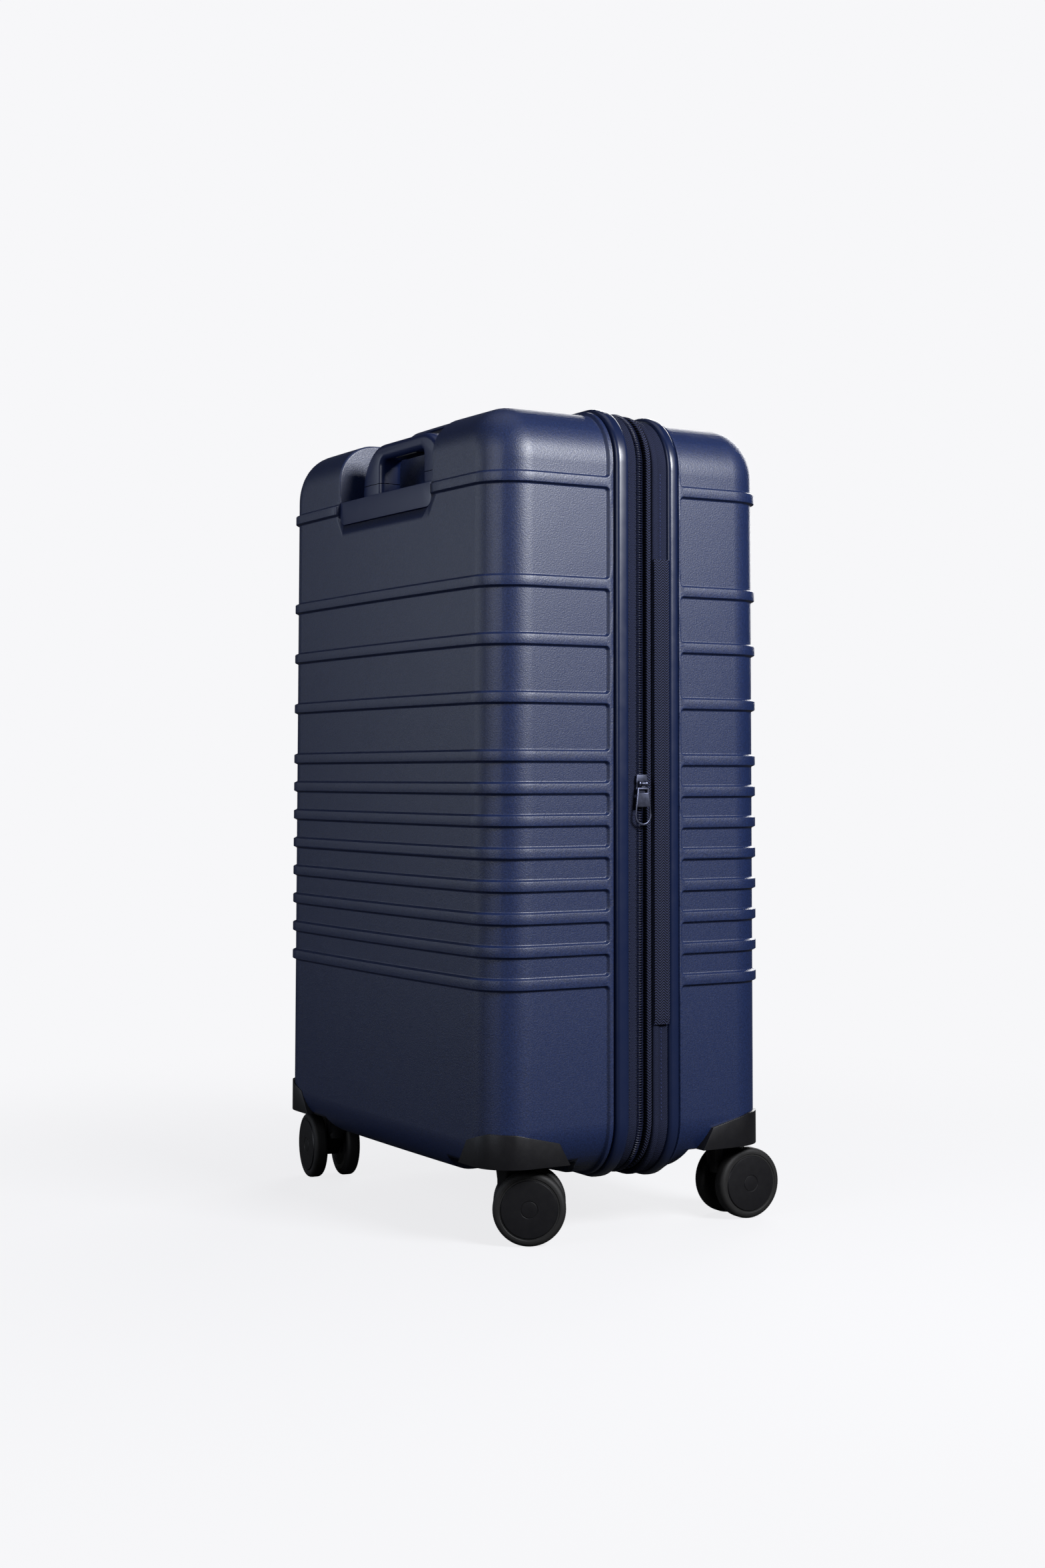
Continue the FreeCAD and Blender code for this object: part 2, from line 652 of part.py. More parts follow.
def zip_slider(side_x, pivot_z, depth, seat_x):
    """Slider body that rides on the coil, with two ears and the pin that holds the pull."""
    y = depth_to_y(depth)
    ears = []
    top = PIVOT_X + 1.6
    base = Part.makeBox(SLIDER_FACE_X - seat_x, 12, 15, Vector(seat_x, y - 6, pivot_z - 7.5))
    face_edges = [edge for edge in base.Edges if edge.BoundBox.XMin > SLIDER_FACE_X - 0.01]
    base = base.makeFillet(0.5, face_edges)
    base = base.cut(cylinder_between(Vector(PIVOT_X, y - 2.4, pivot_z),
                                     Vector(PIVOT_X, y + 2.4, pivot_z), EYE_RADIUS + 0.3))
    for side in LEFT_AND_RIGHT:
        ears.append(Part.makeBox(top - seat_x - 0.5, 1.6, 5.0,
                                 Vector(seat_x + 0.5, y + side * 3.2 - 0.8, pivot_z - 2.5)))
    pin = cylinder_between(Vector(PIVOT_X, y - 3.6, pivot_z), Vector(PIVOT_X, y + 3.6, pivot_z),
                           PIN_RADIUS)
    body = fused([base, pin] + ears)
    if side_x < 0:
        body = body.mirror(Vector(0, 0, 0), Vector(1, 0, 0))
    return body


# ---- zips, band and gusset -----------------------------------------------------------
def expansion_zip():
    tape = case_ring(2.5, -2.0, EXPANSION_TAPE)
    coil = case_ring(3.6, 0.4, EXPANSION_COIL)
    return Part.makeCompound([tape, coil])


def expander_band():
    return case_ring(2.5, -WALL, BAND)


def expansion_gusset():
    return case_ring(-3.0, -4.5, GUSSET)


def main_zip():
    roll = case_prism(4.0, MAIN_ROLL, FRONT_DROP).cut(
        case_prism(0.5, (MAIN_ROLL[0] - 1, MAIN_ROLL[1] + 1), FRONT_DROP))
    tape = case_ring(2.5, -WALL, MAIN_TAPE, FRONT_DROP)
    lock = lock_block()
    return Part.makeCompound([roll.cut(lock), tape.cut(lock)])


def hinge_tape():
    return box((-HALF_WIDTH - 7.0, -HALF_WIDTH - 4.8), (146.0, 160.5), HINGE_TAPE_Z)


def packing_straps():
    """Two webbing straps flat on the lining floor, each with a two-part buckle."""
    floor = BACK_FLOOR_DEPTH + LINING
    pieces = []
    for z in STRAP_Z:
        webbing = (z - STRAP_WIDTH / 2, z + STRAP_WIDTH / 2)
        buckle = (z - BUCKLE_HALF, z + BUCKLE_HALF)
        buckle_depth = (floor + STRAP_THICK, floor + STRAP_THICK + BUCKLE_THICK)
        pieces.append(box((-STRAP_REACH, STRAP_REACH), (floor, floor + STRAP_THICK), webbing))
        pieces.append(box((-2.1 * BUCKLE_HALF, 0), buckle_depth, buckle))
        pieces.append(box((0, 2.1 * BUCKLE_HALF), buckle_depth, buckle))
    return Part.makeCompound(pieces)


# ---- the whole case ------------------------------------------------------------------
def save(name, shape):
    shape.exportStep("parts/%s.step" % name)
    box_now = shape.BoundBox
    print("%-24s solids %2d  valid %s  x %7.1f %7.1f  y %7.1f %7.1f  z %6.1f %6.1f" % (
        name, len(shape.Solids), shape.isValid(), box_now.XMin, box_now.XMax,
        box_now.YMin, box_now.YMax, box_now.ZMin, box_now.ZMax))


def root_obstacles():
    """Everything in the back half that the lining has to make room for."""
    recess = box((TROLLEY_X - RECESS_HALF, TROLLEY_X + RECESS_HALF), (0, RECESS_DEPTH),
                 (BEZEL_Z[0], TOP_Z))
    stems = []
    for place, half in ((on_top, TOP_CARRY_HALF), (on_right_side, SIDE_CARRY_HALF)):
        stems += [grown_box(slot, 3.0 + CARRY_PULL) for slot in carry_slots(place, half, 0.0)]
    return all_housings(False) + wheel_wells(False, WALL) + [recess] + stems


def save_casters():
    for name, place in CASTERS.items():
        save("fork_" + name, placed_caster(fork(), place))
        save("axle_" + name, placed_caster(axle(), place))
        for word, side in (("a", 1), ("b", -1)):
            save("hub_%s_%s" % (name, word), placed_caster(hub(side), place))
            save("tyre_%s_%s" % (name, word), placed_caster(tyre(side), place))
    for word, is_front in (("rear", False), ("front", True)):
        save(word + "_caster_housings", housing_with_pin_bores(is_front))
        pins = [kingpin(place) for place in caster_places(is_front)]
        save(word + "_kingpins", Part.makeCompound(pins))


def save_trolley_handle():
    save("handle_bezel", handle_bezel())
    save("handle_foot", handle_foot())
    save("handle_outer_tubes", tube_pair(OUTER_TUBE, (FOOT_Z[0] + 2, BEZEL_Z[0]), TUBE_WALL))
    save("handle_middle_tubes",
         tube_pair(MIDDLE_TUBE, (FOOT_Z[0] + 6, BEZEL_Z[1] - 8), TUBE_WALL))
    save("handle_inner_tubes",
         tube_pair(INNER_TUBE, (FOOT_Z[0] + 10, GRIP_BOTTOM + 20), TUBE_WALL))
    save("handle_grip", handle_grip())
    save("handle_button", thumb_button(0.0, 5.0))


def save_zips_and_lock():
    save("expansion_zip", expansion_zip())
    save("expander_band", expander_band())
    save("expansion_gusset", expansion_gusset())
    save("main_zip", main_zip())
    save("hinge_tape", hinge_tape())
    save("expansion_zip_slider",
         zip_slider(-1, EXPANSION_PIVOT_Z, EXPANSION_PULL_DEPTH, HALF_WIDTH + 3.9))
    save("expansion_zip_pull", pull_tab(-1, EXPANSION_PIVOT_Z, EXPANSION_PULL_DEPTH, -1))
    for word, side in (("upper", 1), ("lower", -1)):
        pivot_z = LOCK_Z + side * MAIN_PIVOT_OFFSET
        save("main_zip_slider_" + word,
             zip_slider(1, pivot_z, MAIN_PULL_DEPTH, HALF_WIDTH + 4.3))
        save("main_zip_pull_" + word, pull_tab(1, pivot_z, MAIN_PULL_DEPTH, -side))
    save("lock_housing", lock_housing())
    save("lock_button", lock_button(0.0, LOCK_X[1] - 4.9))
    for number, index in enumerate((-1, 0, 1), 1):
        ring = dial(index, 0.0).cut(spindle(SPINDLE_RADIUS + RUNNING_GAP))
        save("lock_dial_%d" % number, ring)


def main():
    os.makedirs("parts", exist_ok=True)
    save("back_shell", back_shell())
    save("front_shell", front_shell())
    save("back_edge_trim", edge_trim(BACK_TRIM, (BACK_TRIM[0] - 1, BACK_TRIM[0] + 8.0), 0.0))
    front_trim = edge_trim(FRONT_TRIM, (FRONT_TRIM[1] - 8.0, FRONT_TRIM[1] + 1), FRONT_DROP)
    save("front_edge_trim", front_trim.cut(lock_block()))
    save("back_lining", lining(False, root_obstacles()))
    front_obstacles = all_housings(True) + wheel_wells(True, WALL) + [lock_block()]
    save("front_lining", lining(True, front_obstacles))
    save("packing_straps", packing_straps())
    save("top_carry_handle", carry_handle(on_top, TOP_CARRY_HALF, TOP_CARRY_PROUD))
    save("side_carry_handle", carry_handle(on_right_side, SIDE_CARRY_HALF, SIDE_CARRY_PROUD))
    save_trolley_handle()
    save_zips_and_lock()
    save_casters()


main()
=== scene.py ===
"""Looks of the hard-shell suitcase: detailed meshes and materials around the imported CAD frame.

Lengths written here are millimetres until a mesh is made.  X runs across the case, Z is up
from the floor, and the back panel with the trolley handle looks along +Y.
"""
import json
import math

import bmesh
import bpy
from mathutils import Matrix, Vector


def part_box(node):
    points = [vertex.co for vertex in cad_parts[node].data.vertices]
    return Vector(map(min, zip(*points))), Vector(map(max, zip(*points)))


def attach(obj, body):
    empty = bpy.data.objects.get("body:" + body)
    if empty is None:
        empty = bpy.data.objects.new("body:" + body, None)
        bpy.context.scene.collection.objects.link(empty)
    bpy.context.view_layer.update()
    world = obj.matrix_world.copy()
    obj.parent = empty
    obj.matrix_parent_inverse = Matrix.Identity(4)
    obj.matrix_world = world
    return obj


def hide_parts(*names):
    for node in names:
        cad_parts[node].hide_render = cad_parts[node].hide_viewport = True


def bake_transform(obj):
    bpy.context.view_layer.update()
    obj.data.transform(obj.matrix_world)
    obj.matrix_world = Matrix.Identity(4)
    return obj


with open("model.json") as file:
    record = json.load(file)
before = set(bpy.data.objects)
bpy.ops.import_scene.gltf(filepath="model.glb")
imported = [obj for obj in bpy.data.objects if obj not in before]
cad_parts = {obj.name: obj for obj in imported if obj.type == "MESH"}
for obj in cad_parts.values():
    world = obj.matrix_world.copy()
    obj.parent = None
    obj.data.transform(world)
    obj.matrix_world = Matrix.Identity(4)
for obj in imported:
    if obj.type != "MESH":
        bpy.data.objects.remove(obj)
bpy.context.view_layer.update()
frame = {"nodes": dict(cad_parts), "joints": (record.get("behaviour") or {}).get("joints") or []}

MM = 0.001
ACROSS = Vector((1, 0, 0))
BACK = Vector((0, 1, 0))
UP = Vector((0, 0, 1))


def low_high(node):
    """A CAD node's corners, in millimetres."""
    low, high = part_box(node)
    return Vector(low) / MM, Vector(high) / MM


# ---- driving sizes, read from the frame ------------------------------------------------
RIB_PROUD = 3.0
TRIM_PROUD = 6.0
TRIM_ROUND = 3.6
WALL = 2.5
CROWN = 3.5
CROWN_DEPTH = 90.0
shell_low, shell_high = low_high("back_shell")
trim_high = low_high("back_edge_trim")[1]
front_low, front_high = low_high("front_edge_trim")
HALF_WIDTH = shell_high.x - RIB_PROUD
TOP_Z = shell_high.z - RIB_PROUD
BOTTOM_Z = shell_low.z + RIB_PROUD
FRONT_DROP = trim_high.z - front_high.z
BACK_FACE_Y = shell_high.y - RIB_PROUD - CROWN
FRONT_FACE_Y = low_high("front_shell")[0].y + RIB_PROUD + CROWN
CORNER_RADIUS = 45.0
FACE_RADIUS = 34.0
CORNER_STEPS = 14
FACE_STEPS = 12

# Ribs, and the raised border beside each trim.
RIB_WIDTH = 10.8
RIB_FLANK = 1.9
WINDOW_CORNER = 2.2
TOP_RIB_Z = 610.0
RIB_DROPS = (0.0, 84.0) + tuple(84.0 + 47.0 * n for n in (1, 2, 3)) \
    + tuple(225.0 + 26.0 * n for n in range(1, 8))
BACK_BORDER = 7.0
FRONT_BORDER = 5.5
BORDER_GAP = 0.6
BORDER_SLOPE = 1.6
UNDER_TRIM = 8.0

# Rows of points: plain steps, and closer rows on a rib's flank and past it.
COLUMN_STEP = 13.0
FIRST_ROW = 60.0
ROW_STEP = 40.0
FLANK_ROWS = [RIB_FLANK * k / 4 for k in range(5)]
SHOULDER_ROWS = (0.6, 1.2, 2.2)

# The recess of the trolley handle, where the top rib fades out.
bezel_low, bezel_high = low_high("handle_bezel")
TROLLEY_X = (bezel_low.x + bezel_high.x) / 2
RECESS_HALF = 90.0
RECESS_CORNER = 10.0
RECESS_FLOOR = bezel_low.z
RECESS_REAR_Y = bezel_low.y
RECESS_LIP = 2.2
FADE_WIDTH = 6.5
FADE_SLOPE = 0.4
PLATE_TOP = 622.0
SHELF_GAP = 0.5
SHELF_RIM = 57.0
TUBE_WIDTH = 24.0
TUBE_CLEARANCE = 0.3

# Stems of the carry handles and the slots that they move in.
STEM_INSET = 10.0
STEM_HALF = (5.8, 6.8)
STEM_TOP_Z = 684.5
SLOT_HALF = (6.4, 7.4)
TOP_SLOT = (640.0, 720.0)
SIDE_SLOT = (180.0, 240.0)

# Wheels and their wells.
WHEEL_HALF = 6.25
WHEEL_RADIUS = 29.5
WHEEL_FROM_FORK = 15.5
HUB_RADIUS = 23.75
TREAD_ROUND = 3.6
WELL_RADIUS = 54.5
WELL_TOP = 64.0

# How far cutters reach beyond what they cut.
BELOW_FLOOR = 20.0
CUTTER_TOP = 720.0
CLEAR_OF_CASE = 30.0
HOLLOW_PAST_RIM = 5.0

# Zips, their sliders and pulls.  The pin joins a pull to its slider.
TAPE_PROUD = 2.4
STITCH_OFFSET = 2.45
COIL_BAND = 6.2
PIN_X = 211.4
SLIDER_TOP_X = 209.5
EAR_THICK = 1.5
PULL_THICK = 1.3
PULL_PAST_PIN = 2.0

# The floor, whose shadows fade out between two radii.
FLOOR_RADIUS = 30000.0
FLOOR_SINK = 0.3
SHADOW_RADIUS = 250.0
PLAIN_RADIUS = 1100.0

SAME_POINT = 0.001 * MM


# ---- small mesh tools ------------------------------------------------------------------
def finish_mesh(bm, name, sharp_degrees=35.0):
    """Turns a bmesh in millimetres into an object in metres, smooth but for its sharp edges."""
    bmesh.ops.recalc_face_normals(bm, faces=bm.faces)
    scale_mesh(bm, MM)
    mesh = bpy.data.meshes.new(name)
    bm.to_mesh(mesh)
    bm.free()
    piece = bpy.data.objects.new(name, mesh)
    bpy.context.scene.collection.objects.link(piece)
    smooth_by_angle(piece, sharp_degrees)
    return piece


def scale_mesh(bm, factor):
    bmesh.ops.scale(bm, vec=Vector((factor, factor, factor)), verts=bm.verts)


def smooth_by_angle(piece, degrees):
    """Shades a piece smooth, except over edges that turn by more than an angle."""
    mesh = piece.data
    mesh.polygons.foreach_set("use_smooth", [True] * len(mesh.polygons))
    mesh.set_sharp_from_angle(angle=math.radians(degrees))


def weighted_normals(piece):
    """Smooths a shell and keeps its large faces flat beside small rounded edges."""
    smooth_by_angle(piece, 40.0)
    step = piece.modifiers.new("normals", "WEIGHTED_NORMAL")
    step.keep_sharp = True
    bpy.context.view_layer.update()
    return applied(piece)


def dress(piece, material, body, node=None):
    """Gives a piece its material, the body it rides on and the CAD node it stands for."""
    piece.data.materials.clear()
    piece.data.materials.append(material)
    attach(piece, body)
    if node:
        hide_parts(node)
    return piece


def loft(bm, rings, close_path=False):
    """Faces between successive rings of points, whose ends are joined up or capped."""
    made = [[bm.verts.new(point) for point in ring] for ring in rings]
    pairs = list(zip(made, made[1:]))
    if close_path:
        pairs.append((made[-1], made[0]))
    for first, second in pairs:
        count = len(first)
        for i in range(count):
            j = (i + 1) % count
            bm.faces.new((first[i], first[j], second[j], second[i]))
    if not close_path:
        bm.faces.new(made[0])
        bm.faces.new(made[-1])


def rod(bm, ring, direction):
    """Adds a capped rod over a flat ring of points to a mesh."""
    loft(bm, [ring, [point + Vector(direction) for point in ring]])


def applied(piece):
    """Replaces a piece's mesh by its evaluated mesh and drops its modifiers."""
    graph = bpy.context.evaluated_depsgraph_get()
    baked = bpy.data.meshes.new_from_object(piece.evaluated_get(graph))
    piece.modifiers.clear()
    old = piece.data
    piece.data = baked
    bpy.data.meshes.remove(old)
    return piece


def boolean(piece, cutters, operation="DIFFERENCE"):
    """Cuts closed objects out of a piece, or keeps what they share, and removes them."""
    for cutter in cutters:
        step = piece.modifiers.new("cut", "BOOLEAN")
        step.operation = operation
        step.solver = "EXACT"
        step.object = cutter
    bpy.context.view_layer.update()
    applied(piece)
    for cutter in cutters:
        bpy.data.objects.remove(cutter)
    return piece


def bevelled(piece, width, segments=3, degrees=32.0, sharp_degrees=40.0):
    """Rounds the edges that turn by more than an angle, and shades the piece smooth."""
    step = piece.modifiers.new("bevel", "BEVEL")
    step.width = width * MM
    step.segments = segments
    step.limit_method = "ANGLE"
    step.angle_limit = math.radians(degrees)
    bpy.context.view_layer.update()
    applied(piece)
    smooth_by_angle(piece, sharp_degrees)
    return piece


def copy_of(node):
    """An object with a clean copy of a CAD node's mesh, in its place."""
    bm = bmesh.new()
    bm.from_mesh(frame["nodes"][node].data)
    bmesh.ops.remove_doubles(bm, verts=bm.verts, dist=SAME_POINT)
    bmesh.ops.dissolve_limit(bm, angle_limit=math.radians(0.5), verts=bm.verts, edges=bm.edges)
    scale_mesh(bm, 1 / MM)
    return finish_mesh(bm, node + "_copy")


def refined(node, name, width):
    """A CAD node's shape with rounded edges."""
    piece = bevelled(copy_of(node), width, sharp_degrees=35.0)
    piece.name = name
    return piece


def box_cutter(low, high):
    """A closed box between two corners."""
    points = [Vector((low[0], low[1], low[2])), Vector((high[0], low[1], low[2])),
              Vector((high[0], high[1], low[2])), Vector((low[0], high[1], low[2]))]
    return prism(points, (0, 0, high[2] - low[2]))


def prism(points, direction, name="cutter"):
    """A closed prism over a flat outline, in millimetres."""
    bm = bmesh.new()
    near = [bm.verts.new(point) for point in points]
    far = [bm.verts.new(Vector(point) + Vector(direction)) for point in points]
    bm.faces.new(near)
    bm.faces.new(far)
    for i in range(len(points)):
        j = (i + 1) % len(points)
        bm.faces.new((near[i], near[j], far[j], far[i]))
    return finish_mesh(bm, name)


def disc_points(centre, radius, count, across, along):
    """Points of a circle in the plane of two unit vectors."""
    return [centre + across * (radius * math.cos(2 * math.pi * i / count))
            + along * (radius * math.sin(2 * math.pi * i / count)) for i in range(count)]


def arc(centre, radius, start, sweep, steps):
    """Points of an arc about a centre, both ends included; the angles are in degrees."""
    points = []
    for step in range(steps + 1):
        angle = math.radians(start + sweep * step / steps)
        points.append((centre[0] + radius * math.cos(angle),
                       centre[1] + radius * math.sin(angle)))
    return points


# ---- the case outline seen from the front ----------------------------------------------
def outline(offset, drop, corner_steps=CORNER_STEPS):
    """(x, z) points of the rounded rectangle, anticlockwise, grown by offset."""
    radius = CORNER_RADIUS + offset
    half = HALF_WIDTH + offset - radius
    low = BOTTOM_Z - offset + radius - drop
    high = TOP_Z + offset - radius - drop
    corners = ((half, high, 0.0), (-half, high, 90.0), (-half, low, 180.0), (half, low, 270.0))
    points = []
    for x, z, start in corners:
        points += arc((x, z), radius, start, 90.0, corner_steps)
    return points


def ring_piece(name, profile, drop):
    """A loop round the case: profile is a closed list of (offset, y) points."""
    bm = bmesh.new()
    rings = [[Vector((x, y, z)) for x, z in outline(offset, drop)] for offset, y in profile]
    loft(bm, rings, close_path=True)
    return finish_mesh(bm, name, 50.0)


def rounded_bar(low_offset, high_offset, y_low, y_high, radius, steps):
    """Profile of a bar with rounded outer corners."""
    inset = high_offset - radius
    return ([(low_offset, y_low)] + arc((inset, y_low + radius), radius, 270.0, 90.0, steps)
            + arc((inset, y_high - radius), radius, 0.0, 90.0, steps) + [(low_offset, y_high)])


# ---- the two shells --------------------------------------------------------------------
def smooth_step(edge_a, edge_b, value):
    """0 at the first edge and 1 at the second, with an even start and end."""
    t = min(max((value - edge_a) / (edge_b - edge_a), 0.0), 1.0)
    return t * t * (3.0 - 2.0 * t)


def rib_distance(z, has_recess, x):
    """How far a height is from the flat top of the nearest rib, in millimetres.

    The top rib of the back half fades out towards the recess, as if it were farther off.
    """
    distances = []
    for drop in RIB_DROPS:
        low = TOP_RIB_Z - drop + RIB_FLANK
        high = TOP_RIB_Z - drop + RIB_WIDTH - RIB_FLANK
        distance = max(low - z, z - high, 0.0)
        if has_recess and drop == 0.0:
            beside_recess = RECESS_HALF + FADE_WIDTH - abs(x - TROLLEY_X)
            distance = max(distance, FADE_SLOPE * beside_recess)
        distances.append(distance)
    return min(distances)


def raised(x, depth, z, has_recess, border):
    """0 to 1: the ribs and the raised border, which meet in rounded window corners."""
    start, end = border
    if depth > start + RIB_FLANK:
        return smooth_step(end, end - BORDER_SLOPE, depth)
    to_rib = rib_distance(z, has_recess, x)
    to_border = start + RIB_FLANK - depth
    reach = WINDOW_CORNER + RIB_FLANK
    if to_rib < reach and to_border < reach:
        distance = reach - math.hypot(reach - to_rib, reach - to_border)
    else:
        distance = min(to_rib, to_border)
    return smooth_step(RIB_FLANK, 0.0, distance)


def depth_rows(rim, border):
    """Depths of the rows of points, deepest first and closer together at the raised border."""
    depths = [rim, rim * 0.7, rim * 0.52, FACE_RADIUS]
    if border:
        start, end = border
        depths += [end + 0.4, end, end - 0.5, end - 1.1, end - BORDER_SLOPE]
        depths += [start + step for step in FLANK_ROWS]
        depths += [start - beyond for beyond in SHOULDER_ROWS]
    return sorted(set(depths), reverse=True)


def height_rows(border):
    """Heights of the rows of points, closer together at the flanks of the ribs."""
    rows = [BOTTOM_Z + FIRST_ROW + ROW_STEP * n for n in range(14)]
    if border:
        flank = FLANK_ROWS + [-beyond for beyond in SHOULDER_ROWS]
        for drop in RIB_DROPS:
            base = TOP_RIB_Z - drop
            rows += [base + up for up in flank] + [base + RIB_WIDTH - up for up in flank]
            rows.append(base + RIB_WIDTH / 2)
    return rows


def case_normal(x, z, depth):
    """Outward direction (x, depth, z) of the plain case surface."""
    middle = (TOP_Z + BOTTOM_Z) / 2
    half_height = (TOP_Z - BOTTOM_Z) / 2
    over_x = max(abs(x) - (HALF_WIDTH - CORNER_RADIUS), 0.0)
    over_z = max(abs(z - middle) - (half_height - CORNER_RADIUS), 0.0)
    reach = math.hypot(over_x, over_z)
    sideways = max(FACE_RADIUS - CORNER_RADIUS + reach, 0.0)
    outwards = max(FACE_RADIUS - depth, 0.0)
    length = math.hypot(sideways, outwards)
    if length < 1e-6:
        return Vector((0.0, -1.0, 0.0))
    share = sideways / (length * max(reach, 1e-6))
    return Vector((math.copysign(over_x, x) * share, -outwards / length,
                   math.copysign(over_z, z - middle) * share))


def half_case(name, rim, offset, is_front, border=None):
    """One half of the case as a closed lump.  With a border it carries ribs as well.

    It's made with its depth along Y, counted inwards from the face, and is then put in place.
    """
    radius = FACE_RADIUS + offset
    places = [(depth, 0.0) for depth in depth_rows(rim, border)]
    for step in range(1, FACE_STEPS + 1):
        angle = math.pi / 2 * step / FACE_STEPS
        places.append((FACE_RADIUS - radius * math.sin(angle), radius * (1 - math.cos(angle))))
    bm = bmesh.new()
    loft(bm, [[Vector((x, depth, z)) for x, z in outline(offset - inset, 0.0)]
              for depth, inset in places])
    bmesh.ops.remove_doubles(bm, verts=bm.verts, dist=1e-4)
    cut_levels(bm, ACROSS, [COLUMN_STEP * n for n in range(-15, 16)])
    cut_levels(bm, UP, height_rows(border))
    drop = FRONT_DROP if is_front else 0.0
    face_y = FRONT_FACE_Y if is_front else BACK_FACE_Y
    inwards = 1.0 if is_front else -1.0
    for vert in bm.verts:
        x, depth, z = vert.co
        if border:
            height = RIB_PROUD * raised(x, depth, z, not is_front, border)
            if height > 0.0:
                vert.co += case_normal(x, z, depth) * height
        fade = max(0.0, 1.0 - max(depth, 0.0) / CROWN_DEPTH)
        vert.co.y -= max(CROWN * (1.0 - (x / HALF_WIDTH) ** 2) * fade, 0.0)
        vert.co = Vector((vert.co.x, face_y + inwards * vert.co.y, vert.co.z - drop))
    return finish_mesh(bm, name, 40.0)


def cut_levels(bm, normal, levels):
    """Cuts a mesh by a plane across a unit vector at each level."""
    for level in levels:
        geometry = bm.verts[:] + bm.edges[:] + bm.faces[:]
        bmesh.ops.bisect_plane(bm, geom=geometry, plane_co=normal * level, plane_no=normal,
                               dist=1e-4)


def recess_cutter(grow, floor_z, top_z, rear_y):
    """The recess for the trolley handle: a prism with rounded foot corners."""
    half = RECESS_HALF + grow
    corner = RECESS_CORNER + grow
    right = arc((half - corner, floor_z + corner), corner, 270.0, 90.0, 8) + [(half, top_z)]
    points = right + [(-x, z) for x, z in reversed(right)]
    return prism([Vector((TROLLEY_X + x, rear_y, z)) for x, z in points],
                 (0, BACK_FACE_Y + CLEAR_OF_CASE - rear_y, 0))


def well_cutters(is_front, grow):
    """Upright cylinders that clear the swivelling wheels and start below the floor."""
    word = "caster_front" if is_front else "caster_rear"
    cutters = []
    for joint in frame["joints"]:
        if joint["name"].startswith(word):
            x, y, _ = Vector(joint["pos_m"]) / MM
            ring = disc_points(Vector((x, y, -BELOW_FLOOR)), WELL_RADIUS + grow, 72, ACROSS, BACK)
            cutters.append(prism(ring, (0, 0, WELL_TOP + BELOW_FLOOR + grow)))
    return cutters


def tube_cutters(grow, low_z, high_z):
    """Holes for the two trolley tubes, grown beyond the outer tubes."""
    low, high = low_high("handle_outer_tubes")
    return [box_cutter((start - grow, low.y - grow, low_z),
                       (start + TUBE_WIDTH + grow, high.y + grow, high_z))
            for start in (low.x, high.x - TUBE_WIDTH)]


def carry_slot_cutters():
    """Openings for the stems of the two carry handles."""
    along, across = SLOT_HALF
    cutters = []
    for side in (-1, 1):
        low, high = low_high("top_carry_handle")
        x = (low.x + high.x) / 2 + side * ((high.x - low.x) / 2 - STEM_INSET)
        y = (low.y + high.y) / 2
        cutters.append(box_cutter((x - along, y - across, TOP_SLOT[0]),
                                  (x + along, y + across, TOP_SLOT[1])))
        low, high = low_high("side_carry_handle")
        z = (low.z + high.z) / 2 + side * ((high.z - low.z) / 2 - STEM_INSET)
        y = (low.y + high.y) / 2
        cutters.append(box_cutter((SIDE_SLOT[0], y - across, z - along),
                                  (SIDE_SLOT[1], y + across, z + along)))
    return cutters


def side_pad_flat(piece):
    """Presses the ribs flat where the side carry handle sits."""
    low, high = low_high("side_carry_handle")
    margin_y, margin_z = 7.0, 10.0
    for vert in piece.data.vertices:
        inside_y = low.y - margin_y < vert.co.y / MM < high.y + margin_y
        inside_z = low.z - margin_z < vert.co.z / MM < high.z + margin_z
        if vert.co.x / MM > HALF_WIDTH and inside_y and inside_z:
            vert.co.x = HALF_WIDTH * MM


def back_shell():
    """The ribbed back half, with the recess, the wheel wells and the handle openings."""
    trim_depth = BACK_FACE_Y - trim_high.y
    rim = trim_depth + UNDER_TRIM
    shell = half_case("back_shell_skin", rim, 0.0, False,
                      (trim_depth - BACK_BORDER, trim_depth - BORDER_GAP))
    side_pad_flat(shell)
    around = well_cutters(False, WALL)
    around.append(recess_cutter(WALL, RECESS_FLOOR - WALL, CUTTER_TOP, RECESS_REAR_Y - WALL))
    hollow = boolean(half_case("hollow", rim + HOLLOW_PAST_RIM, -WALL, False), around)
    cutters = [hollow, recess_cutter(0.0, RECESS_FLOOR, CUTTER_TOP, RECESS_REAR_Y)]
    cutters += well_cutters(False, 0.0) + carry_slot_cutters()
    cutters += tube_cutters(TUBE_CLEARANCE, RECESS_FLOOR - 2 * WALL, RECESS_FLOOR + 2.0)
    cutters.append(copy_of("rear_caster_housings"))
    boolean(shell, cutters)
    rounded_recess_lip(shell, RECESS_LIP)
    weighted_normals(shell)
    return dress(shell, SHELL, "back_half", "back_shell")


